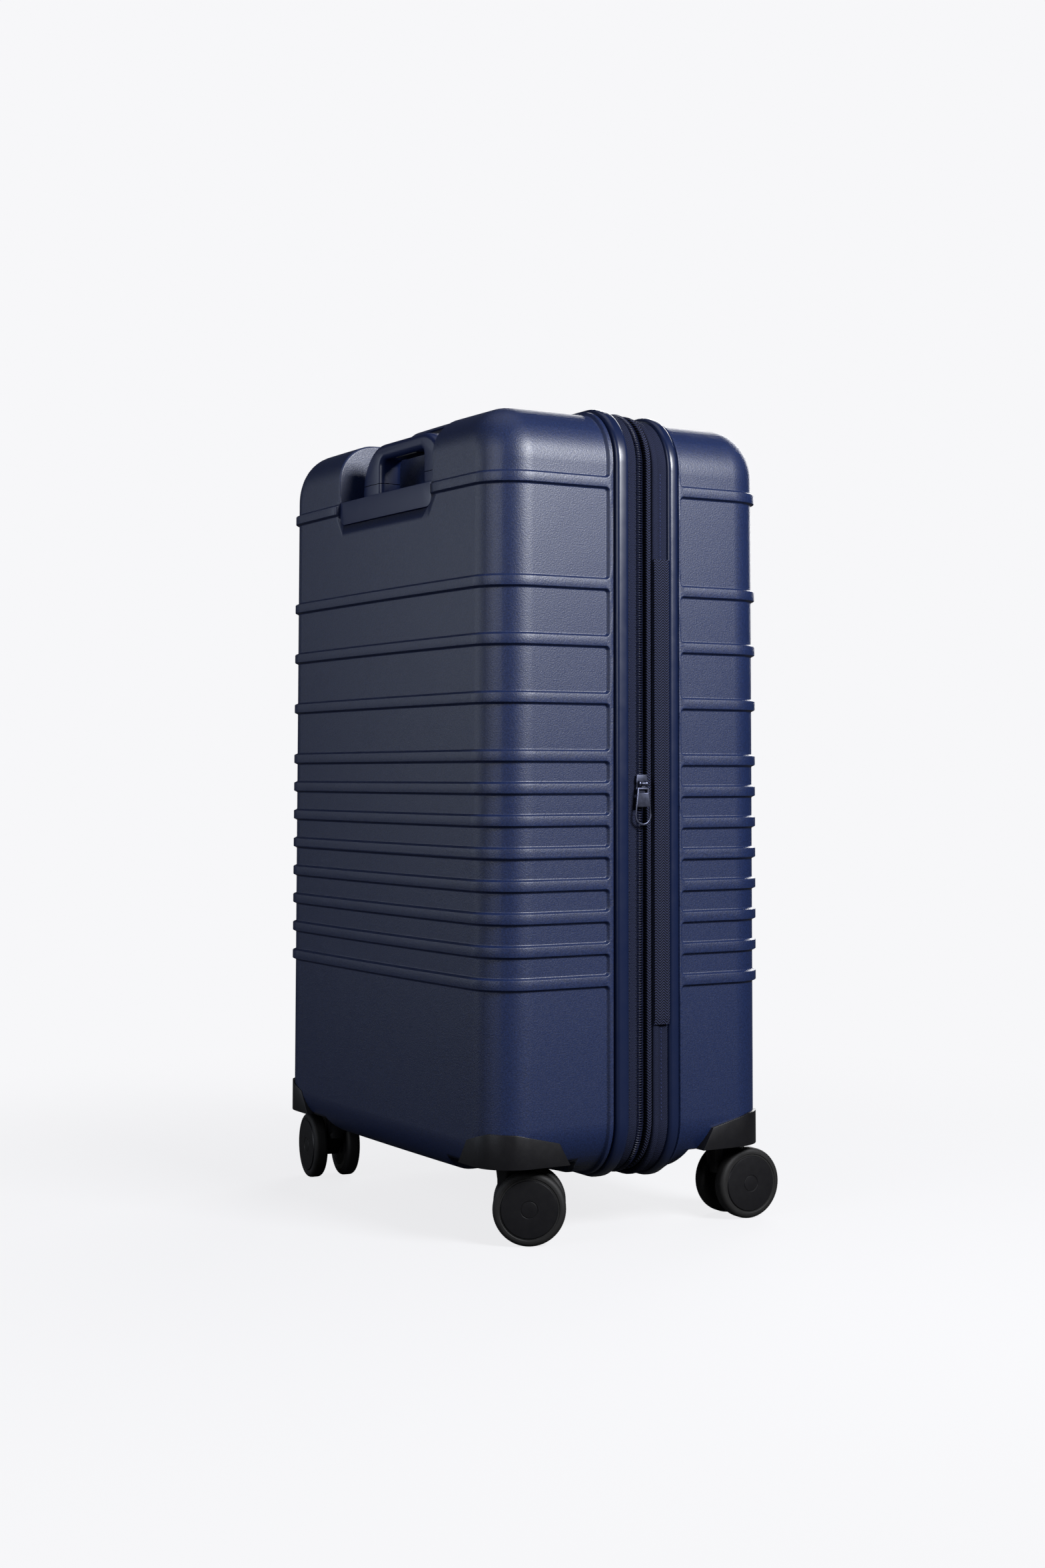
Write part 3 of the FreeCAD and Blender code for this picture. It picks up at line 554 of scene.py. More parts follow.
def rounded_recess_lip(piece, width):
    """Rounds the edge between the trolley recess and the outside of the shell."""
    bm = bmesh.new()
    bm.from_mesh(piece.data)
    bmesh.ops.remove_doubles(bm, verts=bm.verts, dist=SAME_POINT)
    edges = []
    for edge in bm.edges:
        if edge.calc_face_angle(0.0) < math.radians(40.0):
            continue
        middle = (edge.verts[0].co + edge.verts[1].co) / (2 * MM)
        beside = abs(abs(middle.x - TROLLEY_X) - RECESS_HALF) < 0.4
        on_back = middle.y > BACK_FACE_Y - 6.0
        on_top = middle.z > TOP_Z - FACE_RADIUS - 1.0 and middle.y > RECESS_REAR_Y + 0.5
        if beside and (on_back or on_top) and middle.z > PLATE_TOP + 4.0:
            edges.append(edge)
    bmesh.ops.bevel(bm, geom=edges, offset=width * MM, offset_type="OFFSET", segments=4,
                    profile=0.5, affect="EDGES", clamp_overlap=False)
    bm.to_mesh(piece.data)
    bm.free()


def recess_plate():
    """The smooth shelf at the foot of the recess, with a thin dark gap around it."""
    plate = half_case("recess_shelf", SHELF_RIM, -SHELF_GAP, False)
    slab = recess_cutter(-SHELF_GAP, RECESS_FLOOR + 0.9, PLATE_TOP, RECESS_REAR_Y + 0.1)
    boolean(plate, [slab], "INTERSECT")
    boolean(plate, tube_cutters(-1.0, RECESS_FLOOR - 2 * WALL, PLATE_TOP + 5.0))
    bevelled(plate, 0.9, 3, 40.0, 35.0)
    return dress(plate, GRIP, "back_half", "handle_bezel")


def front_shell():
    """The ribbed front half, with the wheel wells and the opening for the lock."""
    trim_depth = front_low.y - FRONT_FACE_Y
    rim = trim_depth + UNDER_TRIM
    shell = half_case("front_shell_skin", rim, 0.0, True,
                      (trim_depth - FRONT_BORDER, trim_depth - BORDER_GAP))
    hollow = boolean(half_case("hollow", rim + HOLLOW_PAST_RIM, -WALL, True),
                     well_cutters(True, WALL))
    cutters = [hollow, box_cutter(*low_high("lock_housing")), copy_of("front_caster_housings")]
    boolean(shell, cutters + well_cutters(True, 0.0))
    weighted_normals(shell)
    return dress(shell, SHELL, "front_half", "front_shell")


# ---- trims, tapes and coils ------------------------------------------------------------
def edge_trim(name, node, body, drop):
    """The raised frame along the open edge of a shell."""
    low, high = low_high(node)
    bar = rounded_bar(-WALL, TRIM_PROUD, low.y, high.y, TRIM_ROUND, 6)
    profile = bar[:1] + [(0.0, low.y)] + bar[1:-1] + [(0.0, high.y)] + bar[-1:]
    trim = ring_piece(name, profile, drop)
    if node == "front_edge_trim":
        boolean(trim, [box_cutter(*low_high("lock_housing"))])
        smooth_by_angle(trim, 50.0)
    return dress(trim, TRIM, body, node)


def coil_ring(name, offset, y):
    """A zip coil: one wire wound in flat turns along the outline of the case."""
    pitch = 2.1
    reach = 2.6
    height = 1.2
    wire = 0.55
    per_turn = 8
    path = outline(offset, 0.0, 24)
    closed = path + path[:1]
    lengths = [0.0]
    for (x0, z0), (x1, z1) in zip(closed, closed[1:]):
        lengths.append(lengths[-1] + math.hypot(x1 - x0, z1 - z0))
    total = lengths[-1]
    count = int(total / pitch) * per_turn
    rings = []
    segment = 0
    for i in range(count):
        s = total * i / count
        while lengths[segment + 1] < s:
            segment += 1
        (x0, z0), (x1, z1) = closed[segment], closed[segment + 1]
        t = (s - lengths[segment]) / (lengths[segment + 1] - lengths[segment])
        tangent = Vector((x1 - x0, 0, z1 - z0)).normalized()
        outward = Vector((tangent.z, 0, -tangent.x))
        angle = 2 * math.pi * i / per_turn
        radial = BACK * math.cos(angle) + outward * math.sin(angle)
        wind = Vector((x0 + (x1 - x0) * t, y, z0 + (z1 - z0) * t)) \
            + BACK * reach * math.cos(angle) + outward * height * math.sin(angle)
        rings.append([wind + tangent * wire, wind + radial * wire, wind - tangent * wire,
                      wind - radial * wire])
    bm = bmesh.new()
    loft(bm, rings, close_path=True)
    return finish_mesh(bm, name, 180.0)


def stitch_row(name, y, z_low, z_high):
    """A straight row of small raised stitches down the hinge side of the case."""
    pitch = 3.2
    length = 2.1
    thick = 0.28
    x = -(HALF_WIDTH + STITCH_OFFSET)
    bm = bmesh.new()
    for i in range(int((z_high - z_low) / pitch)):
        z = z_low + pitch * (i + 0.5)
        rings = []
        for k in range(7):
            t = k / 6
            swell = math.sin(math.pi * t)
            lift = thick * 1.2 * swell - thick * 0.5
            centre = Vector((x - lift, y, z - length / 2 + length * t))
            rings.append(disc_points(centre, thick * (0.35 + 0.65 * swell), 6, ACROSS, BACK))
        loft(bm, rings)
    return finish_mesh(bm, name, 60.0)


def expansion_zip():
    """Zip between the back trim and the expander: a coil, its tape and a stitched tape."""
    low, high = low_high("expansion_zip")
    tape = ring_piece("expansion_zip_tape",
                      rounded_bar(-2.0, TAPE_PROUD, low.y + COIL_BAND, high.y, 0.5, 2), 0.0)
    dress(tape, ZIP_TAPE, "back_half", "expansion_zip")
    coil = coil_ring("expansion_zip_coil", 2.0, low.y + 3.2)
    dress(coil, COIL, "back_half")
    under = ring_piece("expansion_coil_tape",
                       rounded_bar(-2.0, 1.0, low.y, low.y + COIL_BAND + 0.4, 0.4, 2), 0.0)
    dress(under, ZIP_TAPE, "back_half")
    for row, from_edge in enumerate((1.6, 7.8)):
        seam = stitch_row("expansion_zip_stitches_%d" % row, high.y - from_edge, 96.0, 630.0)
        dress(seam, THREAD, "back_half")


def expander_web():
    low, high = low_high("expander_band")
    band = ring_piece("expander_web", rounded_bar(-WALL, TAPE_PROUD, low.y, high.y, 1.0, 3), 0.0)
    dress(band, HERRINGBONE, "expander", "expander_band")


def main_zip():
    """Zip of the front half: a flat tape, a round piping beside it and one row of stitches."""
    low, high = low_high("main_zip")
    tape = ring_piece("main_zip_tape",
                      rounded_bar(-WALL, TAPE_PROUD, low.y, high.y - 6.0, 0.6, 2), FRONT_DROP)
    roll = ring_piece("main_zip_piping", rounded_bar(0.5, 4.0, high.y - 5.9, high.y, 1.7, 5),
                      FRONT_DROP)
    for piece in (tape, roll):
        boolean(piece, [box_cutter(*low_high("lock_housing"))])
        smooth_by_angle(piece, 50.0)
    dress(tape, ZIP_TAPE, "front_half", "main_zip")
    dress(roll, ZIP_TAPE, "front_half")
    seam = stitch_row("main_zip_stitches", high.y - 8.3, 92.0, 627.0)
    dress(seam, BLUE_THREAD, "front_half")


def gusset():
    """The folded cloth of the expansion, a thin closed band behind the zip."""
    low, high = low_high("expansion_gusset")
    folds = 12
    cloth_thick = 0.8
    outer, inner = [], []
    for i in range(folds + 1):
        y = high.y + (low.y - high.y) * i / folds
        offset = -3.7 if i % 2 else -3.0
        outer.append((offset, y))
        inner.append((offset - cloth_thick, y))
    cloth = ring_piece("expansion_gusset_cloth", outer + inner[::-1], 0.0)
    dress(cloth, ZIP_TAPE, "expander", "expansion_gusset")
    cloth.parent = None
    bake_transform(cloth)


def hinge_strip():
    """Woven herringbone strip sewn over the hinge side of the main zip."""
    low, high = low_high("hinge_tape")
    across = 18
    down = 160
    thick = 1.0
    rise = 0.9
    rings = []
    for j in range(down + 1):
        z = low.z + (high.z - low.z) * j / down
        tuck = rise * (1.0 - smooth_step(0.0, 5.0, min(z - low.z, high.z - z)))
        outside, inside = [], []
        for i in range(across + 1):
            t = i / across
            y = high.y + (low.y - high.y) * t
            crown = math.sin(math.pi * min(max(t, 0.02), 0.98)) ** 0.5
            selvedge = 0.175 if t > 0.8 else 0.0
            x = low.x + rise * (1.0 - crown) + tuck - selvedge
            outside.append(Vector((x, y, z)))
            inside.append(Vector((x + thick, y, z)))
        rings.append(outside + inside[::-1])
    bm = bmesh.new()
    loft(bm, rings)
    strip = finish_mesh(bm, "hinge_strip", 60.0)
    dress(strip, HERRINGBONE, "front_half", "hinge_tape")
    strip.parent = None
    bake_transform(strip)


def zip_puller(name, body, node, side_x, direction):
    """Pull tab: an eye on the pin, a solid middle, and an open rounded end."""
    low, high = low_high(node)
    pivot_z = high.z - PULL_PAST_PIN if direction < 0 else low.z + PULL_PAST_PIN
    middle = Vector((side_x * PIN_X, (low.y + high.y) / 2, pivot_z))

    def plate(points, grow):
        """A plate over (across, along) points, measured from the pin."""
        flat = [middle + Vector((-PULL_THICK / 2 - grow, across, direction * along))
                for across, along in points]
        return prism(flat, (PULL_THICK + 2 * grow, 0, 0), name)

    def round_end(radius):
        return arc((0.0, 26.2), radius, 0.0, 180.0, 15)

    tab = plate([(-5.4, 3.2), (5.4, 3.2)] + round_end(8.0), 0.0)
    small_window = plate([(-3.8, 4.7), (3.8, 4.7), (4.1, 7.6), (-4.1, 7.6)], 1.0)
    large_window = plate([(-5.9, 19.0), (5.9, 19.0)] + round_end(6.3), 1.0)
    boolean(tab, [small_window, large_window])
    bevelled(tab, 0.4, 3, 50.0)
    bm = bmesh.new()
    bm.from_mesh(tab.data)
    scale_mesh(bm, 1 / MM)
    bpy.data.objects.remove(tab)
    eye_half = 2.0
    rod(bm, disc_points(middle - BACK * eye_half, 1.9, 16, ACROSS, UP), (0, 2 * eye_half, 0))
    neck = Matrix.Translation(middle + UP * (direction * 2.4))
    bmesh.ops.create_cube(bm, size=1.0, matrix=neck @ Matrix.Diagonal((1.2, 3.6, 4.0, 1.0)))
    return dress(finish_mesh(bm, name, 50.0), ZIP_METAL, body, node)


def slider_body(node, body, side_x):
    """Slider: a rounded base with a pocket for the pull's eye, two ears and the pin."""
    low, high = low_high(node)
    pivot_z = (low.z + high.z) / 2
    y = (low.y + high.y) / 2
    seat_x = min(abs(low.x), abs(high.x))
    left = [(-4.6, 7.4), (-5.4, 3.0), (-4.9, 0.0), (-5.6, -5.0), (-4.6, -7.4)]
    right = [(-across, up) for across, up in reversed(left)]
    base = prism([Vector((side_x * seat_x, y + across, pivot_z + up))
                  for across, up in right[-1:] + left + right[:-1]],
                 (side_x * (SLIDER_TOP_X - seat_x), 0, 0), node)
    pin = Vector((side_x * PIN_X, y, pivot_z))
    pocket_half = 2.5
    pocket = disc_points(pin - BACK * pocket_half, 2.3, 24, ACROSS, UP)
    boolean(base, [prism(pocket, (0, 2 * pocket_half, 0))])
    bevelled(base, 0.7, 4, 30.0)
    base.name = node + "_base"
    dress(base, ZIP_METAL, body, node)
    bm = bmesh.new()
    ear = [Vector((side_x * (SLIDER_TOP_X - 0.5), 0, z)) for z in (-2.9, 2.9)]
    for degrees in range(75, -76, -15):
        angle = math.radians(degrees)
        ear.append(Vector((side_x * (PIN_X - 0.5 + 2.0 * math.cos(angle)), 0,
                           2.4 * math.sin(angle))))
    for side in (-1, 1):
        start = Vector((0, y + side * 3.2 - EAR_THICK / 2, pivot_z))
        rod(bm, [point + start for point in ear], (0, EAR_THICK, 0))
    pin_half = 4.2
    rod(bm, disc_points(pin - BACK * pin_half, 0.85, 16, ACROSS, UP), (0, 2 * pin_half, 0))
    ears = bevelled(finish_mesh(bm, node + "_ears"), 0.25, 2, 50.0)
    dress(ears, ZIP_METAL, body)


# ---- wheels ----------------------------------------------------------------------------
def wheel_piece(name, centre, axis, profile):
    """Turns an (outward, radius) profile about an axis; a radius of 0 closes an end."""
    side = UP.cross(axis).normalized()
    bm = bmesh.new()
    loft(bm, [disc_points(centre + axis * out, max(radius, 0.02), 64, side, UP)
              for out, radius in profile])
    return finish_mesh(bm, name)


def tyre_profile():
    """(outward, radius) points of a tyre with a rounded tread."""
    foot = HUB_RADIUS - 0.6
    shoulder = HUB_RADIUS + 1.0
    crown = WHEEL_RADIUS - TREAD_ROUND
    return ([(0.3 - WHEEL_HALF, foot), (-WHEEL_HALF, shoulder)]
            + arc((TREAD_ROUND - WHEEL_HALF, crown), TREAD_ROUND, 180.0, -90.0, 6)
            + arc((WHEEL_HALF - TREAD_ROUND, crown), TREAD_ROUND, 90.0, -90.0, 6)
            + [(WHEEL_HALF, shoulder), (WHEEL_HALF - 0.5, HUB_RADIUS + 0.5),
               (WHEEL_HALF - 0.5, foot)])


def cap_profile():
    """(outward, radius) points of a hub cap with a grooved rim and a plain boss."""
    inner = -WHEEL_HALF
    web = inner + 4
    edge = WHEEL_HALF - 1.2
    face = WHEEL_HALF + 0.55
    back = [(inner, 4.2), (inner, 9.0), (web, 9.3), (web, 19.2), (inner, 19.8)]
    rim = [(inner, HUB_RADIUS), (edge, HUB_RADIUS), (edge, HUB_RADIUS - 0.55),
           (WHEEL_HALF - 0.1, HUB_RADIUS - 0.75), (face - 0.1, HUB_RADIUS - 1.3),
           (face, HUB_RADIUS - 2.0)]
    boss = [(face, 7.2), (face - 0.35, 6.9), (face - 0.4, 6.5), (face - 0.05, 6.2),
            (face, 5.8), (face + 0.02, 0.0)]
    return back + rim + boss


def wheels():
    """The tyres and the hub caps, turned about the wheel joints."""
    for joint in frame["joints"]:
        if not joint["name"].startswith("wheel_"):
            continue
        body = joint["child"]
        tag = body[len("wheel_"):]
        low, high = low_high("hub_" + tag)
        pivot = Vector(joint["pos_m"]) / MM
        axle = Vector(joint["axis"]).normalized()
        outward = axle if ((low + high) / 2 - pivot).dot(axle) > 0 else -axle
        centre = pivot + outward * WHEEL_FROM_FORK
        tyre = wheel_piece("tyre_%s_rubber" % tag, centre, outward, tyre_profile())
        dress(tyre, RUBBER, body, "tyre_" + tag)
        hub = wheel_piece("hub_%s_cap" % tag, centre, outward, cap_profile())
        dress(hub, BLACK_PLASTIC, body, "hub_" + tag)


# ---- trolley handle --------------------------------------------------------------------
def grip_outline(half, bottom, top, radius):
    """(x, z) points of an arch about the middle of the trolley handle."""
    right = [(half, bottom)] + arc((half - radius, top - radius), radius, 0.0, 90.0, 12)
    return [(TROLLEY_X + x, z) for x, z in right + [(-x, z) for x, z in reversed(right)]]


def trolley_grip():
    """The rounded arch of the grip, parted by a thin seam, and its thumb button."""
    low, high = low_high("handle_grip")
    outer = grip_outline((high.x - low.x) / 2, low.z, high.z, 40.0)
    hole = grip_outline(41.0, low.z, 657.0, 6.0)
    arch = prism([Vector((x, low.y, z)) for x, z in outer + hole[::-1]],
                 (0, high.y - low.y, 0), "grip_arch")
    bevelled(arch, 5.2, 6, 50.0)
    margin = 5.0
    seam_low, seam_high = 635.7, 636.3
    boolean(arch, [box_cutter((low.x - margin, low.y - margin, seam_low),
                              (high.x + margin, high.y + margin, seam_high))])
    smooth_by_angle(arch, 40.0)
    dress(arch, GRIP, "handle_stage_two", "handle_grip")
    button = refined("handle_button", "grip_thumb_button", 1.0)
    dress(button, BLACK_PLASTIC, "handle_button", "handle_button")


def top_carry_strap():
    """A springy strap that arches a little and turns down at both ends onto its stems."""
    low, high = low_high("top_carry_handle")
    middle_x = (low.x + high.x) / 2
    middle_y = (low.y + high.y) / 2
    reach = (high.x - low.x) / 2
    half_thick = 2.0
    half_width = 13.0
    end_narrowing = 11.0
    end_length = 12.0
    straight = 0.7
    steps = 60
    rings = []
    for i in range(steps + 1):
        x = reach * math.sin(math.pi / 2 * (2.0 * i / steps - 1.0))
        far = max(abs(x) - straight * reach, 0.0) / ((1.0 - straight) * reach)
        top = high.z - (x / reach) ** 2 - 9.5 * far ** 1.7
        end = max(abs(x) - (reach - end_length), 0.0) / end_length
        half = half_width - end_narrowing * (1.0 - math.sqrt(max(1.0 - end * end, 0.0)))
        ring = []
        for k in range(24):
            cosine = math.cos(2 * math.pi * k / 24)
            sine = math.sin(2 * math.pi * k / 24)
            across = math.copysign(abs(cosine) ** 0.35, cosine)
            up = math.copysign(abs(sine) ** 0.7, sine)
            ring.append(Vector((middle_x + x, middle_y + half * across,
                                top - half_thick + half_thick * up)))
        rings.append(ring)
    bm = bmesh.new()
    loft(bm, rings)
    strap = finish_mesh(bm, "top_carry_strap", 50.0)
    dress(strap, GRIP, "top_carry_handle", "top_carry_handle")
    along, across = STEM_HALF
    for word, side in (("left", -1), ("right", 1)):
        x = middle_x + side * (reach - STEM_INSET)
        stem = box_cutter((x - along, middle_y - across, low.z),
                          (x + along, middle_y + across, STEM_TOP_Z))
        stem.name = "top_carry_stem_" + word
        dress(bevelled(stem, 0.8, 2), BLACK_PLASTIC, "top_carry_handle")


# ---- materials -------------------------------------------------------------------------
class Paint:
    """A node material with a Principled shader and helpers to wire textures in millimetres."""

    def __init__(self, name, color, roughness, **sockets):
        self.material = bpy.data.materials.new(name)
        self.material.use_nodes = True
        self.tree = self.material.node_tree
        self.shader = self.tree.nodes["Principled BSDF"]
        self.shader.inputs["Base Color"].default_value = (*color, 1.0)
        self.shader.inputs["Roughness"].default_value = roughness
        for socket, value in sockets.items():
            self.shader.inputs[socket.replace("_", " ")].default_value = value
        place = self.node("ShaderNodeTexCoord")
        scale = self.node("ShaderNodeVectorMath", operation="SCALE")
        scale.inputs["Scale"].default_value = 1.0 / MM
        self.link(place.outputs["Object"], scale.inputs[0])
        self.millimetres = scale.outputs[0]
        self.height = None

    def node(self, kind, **settings):
        made = self.tree.nodes.new(kind)
        for key, value in settings.items():
            setattr(made, key, value)
        return made

    def link(self, source, target):
        self.tree.links.new(source, target)

    def noise(self, size, detail=2.0, roughness=0.5):
        made = self.node("ShaderNodeTexNoise")
        made.inputs["Scale"].default_value = 1.0 / size
        made.inputs["Detail"].default_value = detail
        made.inputs["Roughness"].default_value = roughness
        self.link(self.millimetres, made.inputs["Vector"])
        return made.outputs[0]

    def axis(self, name):
        split = self.node("ShaderNodeSeparateXYZ")
        self.link(self.millimetres, split.inputs[0])
        return split.outputs[name]

    def math(self, operation, first, second=0.0):
        made = self.node("ShaderNodeMath", operation=operation)
        for socket, value in zip(made.inputs, (first, second)):
            if isinstance(value, (int, float)):
                socket.default_value = value
            else:
                self.link(value, socket)
        return made.outputs[0]

    def waves(self, source, pitch):
        """Sine waves along a source, with their pitch in millimetres."""
        return self.math("SINE", self.math("MULTIPLY", source, 2 * math.pi / pitch))

    def mix(self, factor, first, second):
        made = self.node("ShaderNodeMixShader")
        for socket, source in zip(made.inputs, (factor, first, second)):
            self.link(source, socket)
        return made.outputs[0]

    def ramp(self, source, low, high, start=0.0, end=1.0):
        made = self.node("ShaderNodeValToRGB")
        made.color_ramp.elements[0].position = start
        made.color_ramp.elements[1].position = end
        made.color_ramp.elements[0].color = (*low, 1.0)
        made.color_ramp.elements[1].color = (*high, 1.0)
        self.link(source, made.inputs[0])
        return made.outputs[0]

    def color(self, source):
        self.link(source, self.shader.inputs["Base Color"])

    def rough(self, source, low, high):
        spread = self.node("ShaderNodeMapRange")
        spread.inputs["To Min"].default_value = low
        spread.inputs["To Max"].default_value = high
        self.link(source, spread.inputs["Value"])
        self.link(spread.outputs[0], self.shader.inputs["Roughness"])

    def bump(self, source, distance, strength):
        made = self.node("ShaderNodeBump")
        made.inputs["Strength"].default_value = strength
        made.inputs["Distance"].default_value = distance * MM
        self.link(source, made.inputs["Height"])
        if self.height is not None:
            self.link(self.height, made.inputs["Normal"])
        self.height = made.outputs[0]
        self.link(self.height, self.shader.inputs["Normal"])


def shell_material():
    """Grained navy: small glossy pits that break up the highlights."""
    paint = Paint("navy_polycarbonate", (0.007, 0.017, 0.068), 0.45, Specular_IOR_Level=0.75)
    grain = paint.noise(1.2, 2.5, 0.6)
    paint.color(paint.ramp(grain, (0.0036, 0.010, 0.044), (0.0078, 0.020, 0.083), 0.35, 0.68))
    paint.rough(paint.noise(1.6, 1.5), 0.34, 0.52)
    paint.bump(paint.noise(60.0, 1.0), 0.35, 0.6)
    paint.bump(grain, 0.19, 0.9)
    return paint.material


def plain_material(name, color, roughness, spread, mottle, grain=None, **sockets):
    """Plastic or metal of one colour: its roughness is mottled, and it may have a fine grain."""
    paint = Paint(name, color, roughness, **sockets)
    paint.rough(paint.noise(*mottle), roughness - spread[0], roughness + spread[1])
    if grain:
        size, depth, strength = grain
        paint.bump(paint.noise(size), depth, strength)
    return paint.material


def fabric(name, color):
    """A matt cloth, to which the weave is added."""
    return Paint(name, color, 0.78, Specular_IOR_Level=0.22)


def tape_material():
    """Fine slanted twill of the zip tapes and the piping."""
    paint = fabric("zip_tape_twill", (0.005, 0.008, 0.026))
    slant = paint.math("ADD", paint.axis("Y"), paint.math("MULTIPLY", paint.axis("Z"), 0.55))
    slant = paint.math("ADD", slant, paint.math("MULTIPLY", paint.axis("X"), 0.55))
    rows = paint.waves(slant, 1.1)
    threads = paint.waves(paint.axis("Z"), 0.9)
    weave = paint.math("ADD", rows, paint.math("MULTIPLY", threads, 0.5))
    paint.color(paint.ramp(weave, (0.002, 0.003, 0.009), (0.026, 0.034, 0.090)))
    paint.bump(weave, 0.12, 0.9)
    return paint.material


def herringbone_material():
    """Chevrons that point up, woven in two tones."""
    paint = fabric("herringbone_webbing", (0.005, 0.007, 0.022))
    fold = paint.math("PINGPONG", paint.axis("Y"), 3.6)
    slope = paint.math("ADD", paint.axis("Z"), paint.math("MULTIPLY", fold, 0.9))
    rows = paint.waves(slope, 2.2)
    paint.color(paint.ramp(rows, (0.0016, 0.002, 0.006), (0.036, 0.044, 0.105), 0.25, 0.9))
    paint.bump(rows, 0.22, 0.9)
    return paint.material


def thread_material(name, color):
    paint = Paint(name, color, 0.6)
    paint.bump(paint.waves(paint.axis("Z"), 0.5), 0.05, 0.6)
    return paint.material


def rubber_material():
    paint = Paint("tyre_rubber", (0.006, 0.0055, 0.0055), 0.65)
    wear = paint.noise(7.0, 4.0, 0.6)
    paint.color(paint.ramp(wear, (0.0045, 0.004, 0.004), (0.009, 0.0082, 0.008), 0.35, 0.7))
    paint.bump(paint.noise(0.6, 3.0), 0.06, 0.7)
    return paint.material


def lining_material():
    paint = fabric("lining_cloth", (0.10, 0.11, 0.13))
    weave = paint.math("MULTIPLY", paint.waves(paint.axis("X"), 0.8),
                       paint.waves(paint.axis("Z"), 0.8))
    paint.color(paint.ramp(weave, (0.07, 0.075, 0.09), (0.12, 0.13, 0.155)))
    paint.bump(weave, 0.08, 0.7)
    return paint.material


SHELL = shell_material()
TRIM = plain_material("navy_trim_plastic", (0.004, 0.010, 0.042), 0.3, (0.06, 0.06),
                      (14.0, 3.0), (25.0, 0.25, 0.6), Specular_IOR_Level=0.7)
ZIP_TAPE = tape_material()
COIL = plain_material("zip_coil_nylon", (0.006, 0.009, 0.032), 0.36, (0.08, 0.08), (2.0, 2.0))
HERRINGBONE = herringbone_material()
THREAD = thread_material("navy_thread", (0.012, 0.014, 0.04))
BLUE_THREAD = thread_material("blue_thread", (0.03, 0.045, 0.16))
BLACK_PLASTIC = plain_material("black_plastic", (0.0045, 0.0042, 0.0055), 0.42, (0.06, 0.06),
                               (6.0, 3.0), (0.7, 0.03, 0.6))
RUBBER = rubber_material()
GRIP = plain_material("smooth_handle_plastic", (0.010, 0.019, 0.072), 0.3, (0.04, 0.06),
                      (12.0, 3.0))
ZIP_METAL, STEEL, TUBE = [
    plain_material(name, color, roughness, (0.06, 0.08), (3.0, 3.0), (0.5, 0.01, 0.5), Metallic=1.0)
    for name, color, roughness in (("zip_lacquered_metal", (0.12, 0.13, 0.19), 0.36),
                                   ("zinc_steel", (0.45, 0.45, 0.46), 0.3),
                                   ("anodised_tube", (0.20, 0.21, 0.23), 0.33))]
LINING = lining_material()


# ---- camera, light and stage -----------------------------------------------------------
def set_camera():
    """The photograph's viewing angle, with a small lens shift for its framing."""
    data = bpy.data.cameras.new("camera")
    camera = bpy.data.objects.new("camera", data)
    bpy.context.scene.collection.objects.link(camera)
    camera.location = (-1.71666, 0.98619, 0.37502)
    forward = Vector((0.84892, -0.52495, 0.06128))
    camera.rotation_mode = "QUATERNION"
    camera.rotation_quaternion = forward.to_track_quat("-Z", "Y")
    data.sensor_width = 36.0
    data.lens = 50.13
    data.shift_x = -0.0442
    data.shift_y = -0.0911
    data.clip_start = 0.05
    data.clip_end = 60.0
    bpy.context.scene.camera = camera


def area_light(name, place, target, size, power, color):
    """A rectangular light that looks at a target, in metres and watts."""
    data = bpy.data.lights.new(name, "AREA")
    data.shape = "RECTANGLE"
    data.size, data.size_y = size
    data.energy = power
    data.color = color
    light = bpy.data.objects.new(name, data)
    bpy.context.scene.collection.objects.link(light)
    light.location = place
    aim = Vector(target) - Vector(place)
    light.rotation_mode = "QUATERNION"
    light.rotation_quaternion = aim.to_track_quat("-Z", "Y")


PALE = (0.930, 0.930, 0.947)
SURROUND_LIGHT = 0.035


def set_lights():
    """Two strong soft lights, one on each side of the case, and three weaker ones."""
    white = (1.0, 1.0, 1.0)
    lights = (
        ("side_softbox", (-1.75, -0.36, 1.32), (-0.2, 0.0, 0.58), (0.75, 0.62), 57.0,
         (0.94, 0.96, 1.0)),
        ("corner_strip", (-0.75, 2.45, 1.2), (-0.1, 0.1, 0.4), (1.2, 1.5), 18.0,
         (0.86, 0.90, 1.0)),
        ("far_side_fill", (1.9, -2.1, 1.5), (0.1, -0.1, 0.4), (1.6, 1.6), 55.0, white),
        ("top_softbox", (0.1, 0.2, 2.3), (0.0, 0.0, 0.4), (1.4, 1.4), 3.0, white),
        ("back_fill", (2.0, 2.3, 0.9), (0.0, 0.1, 0.4), (1.6, 1.6), 12.0, (0.78, 0.86, 1.0)),
    )
    for light in lights:
        area_light(*light)


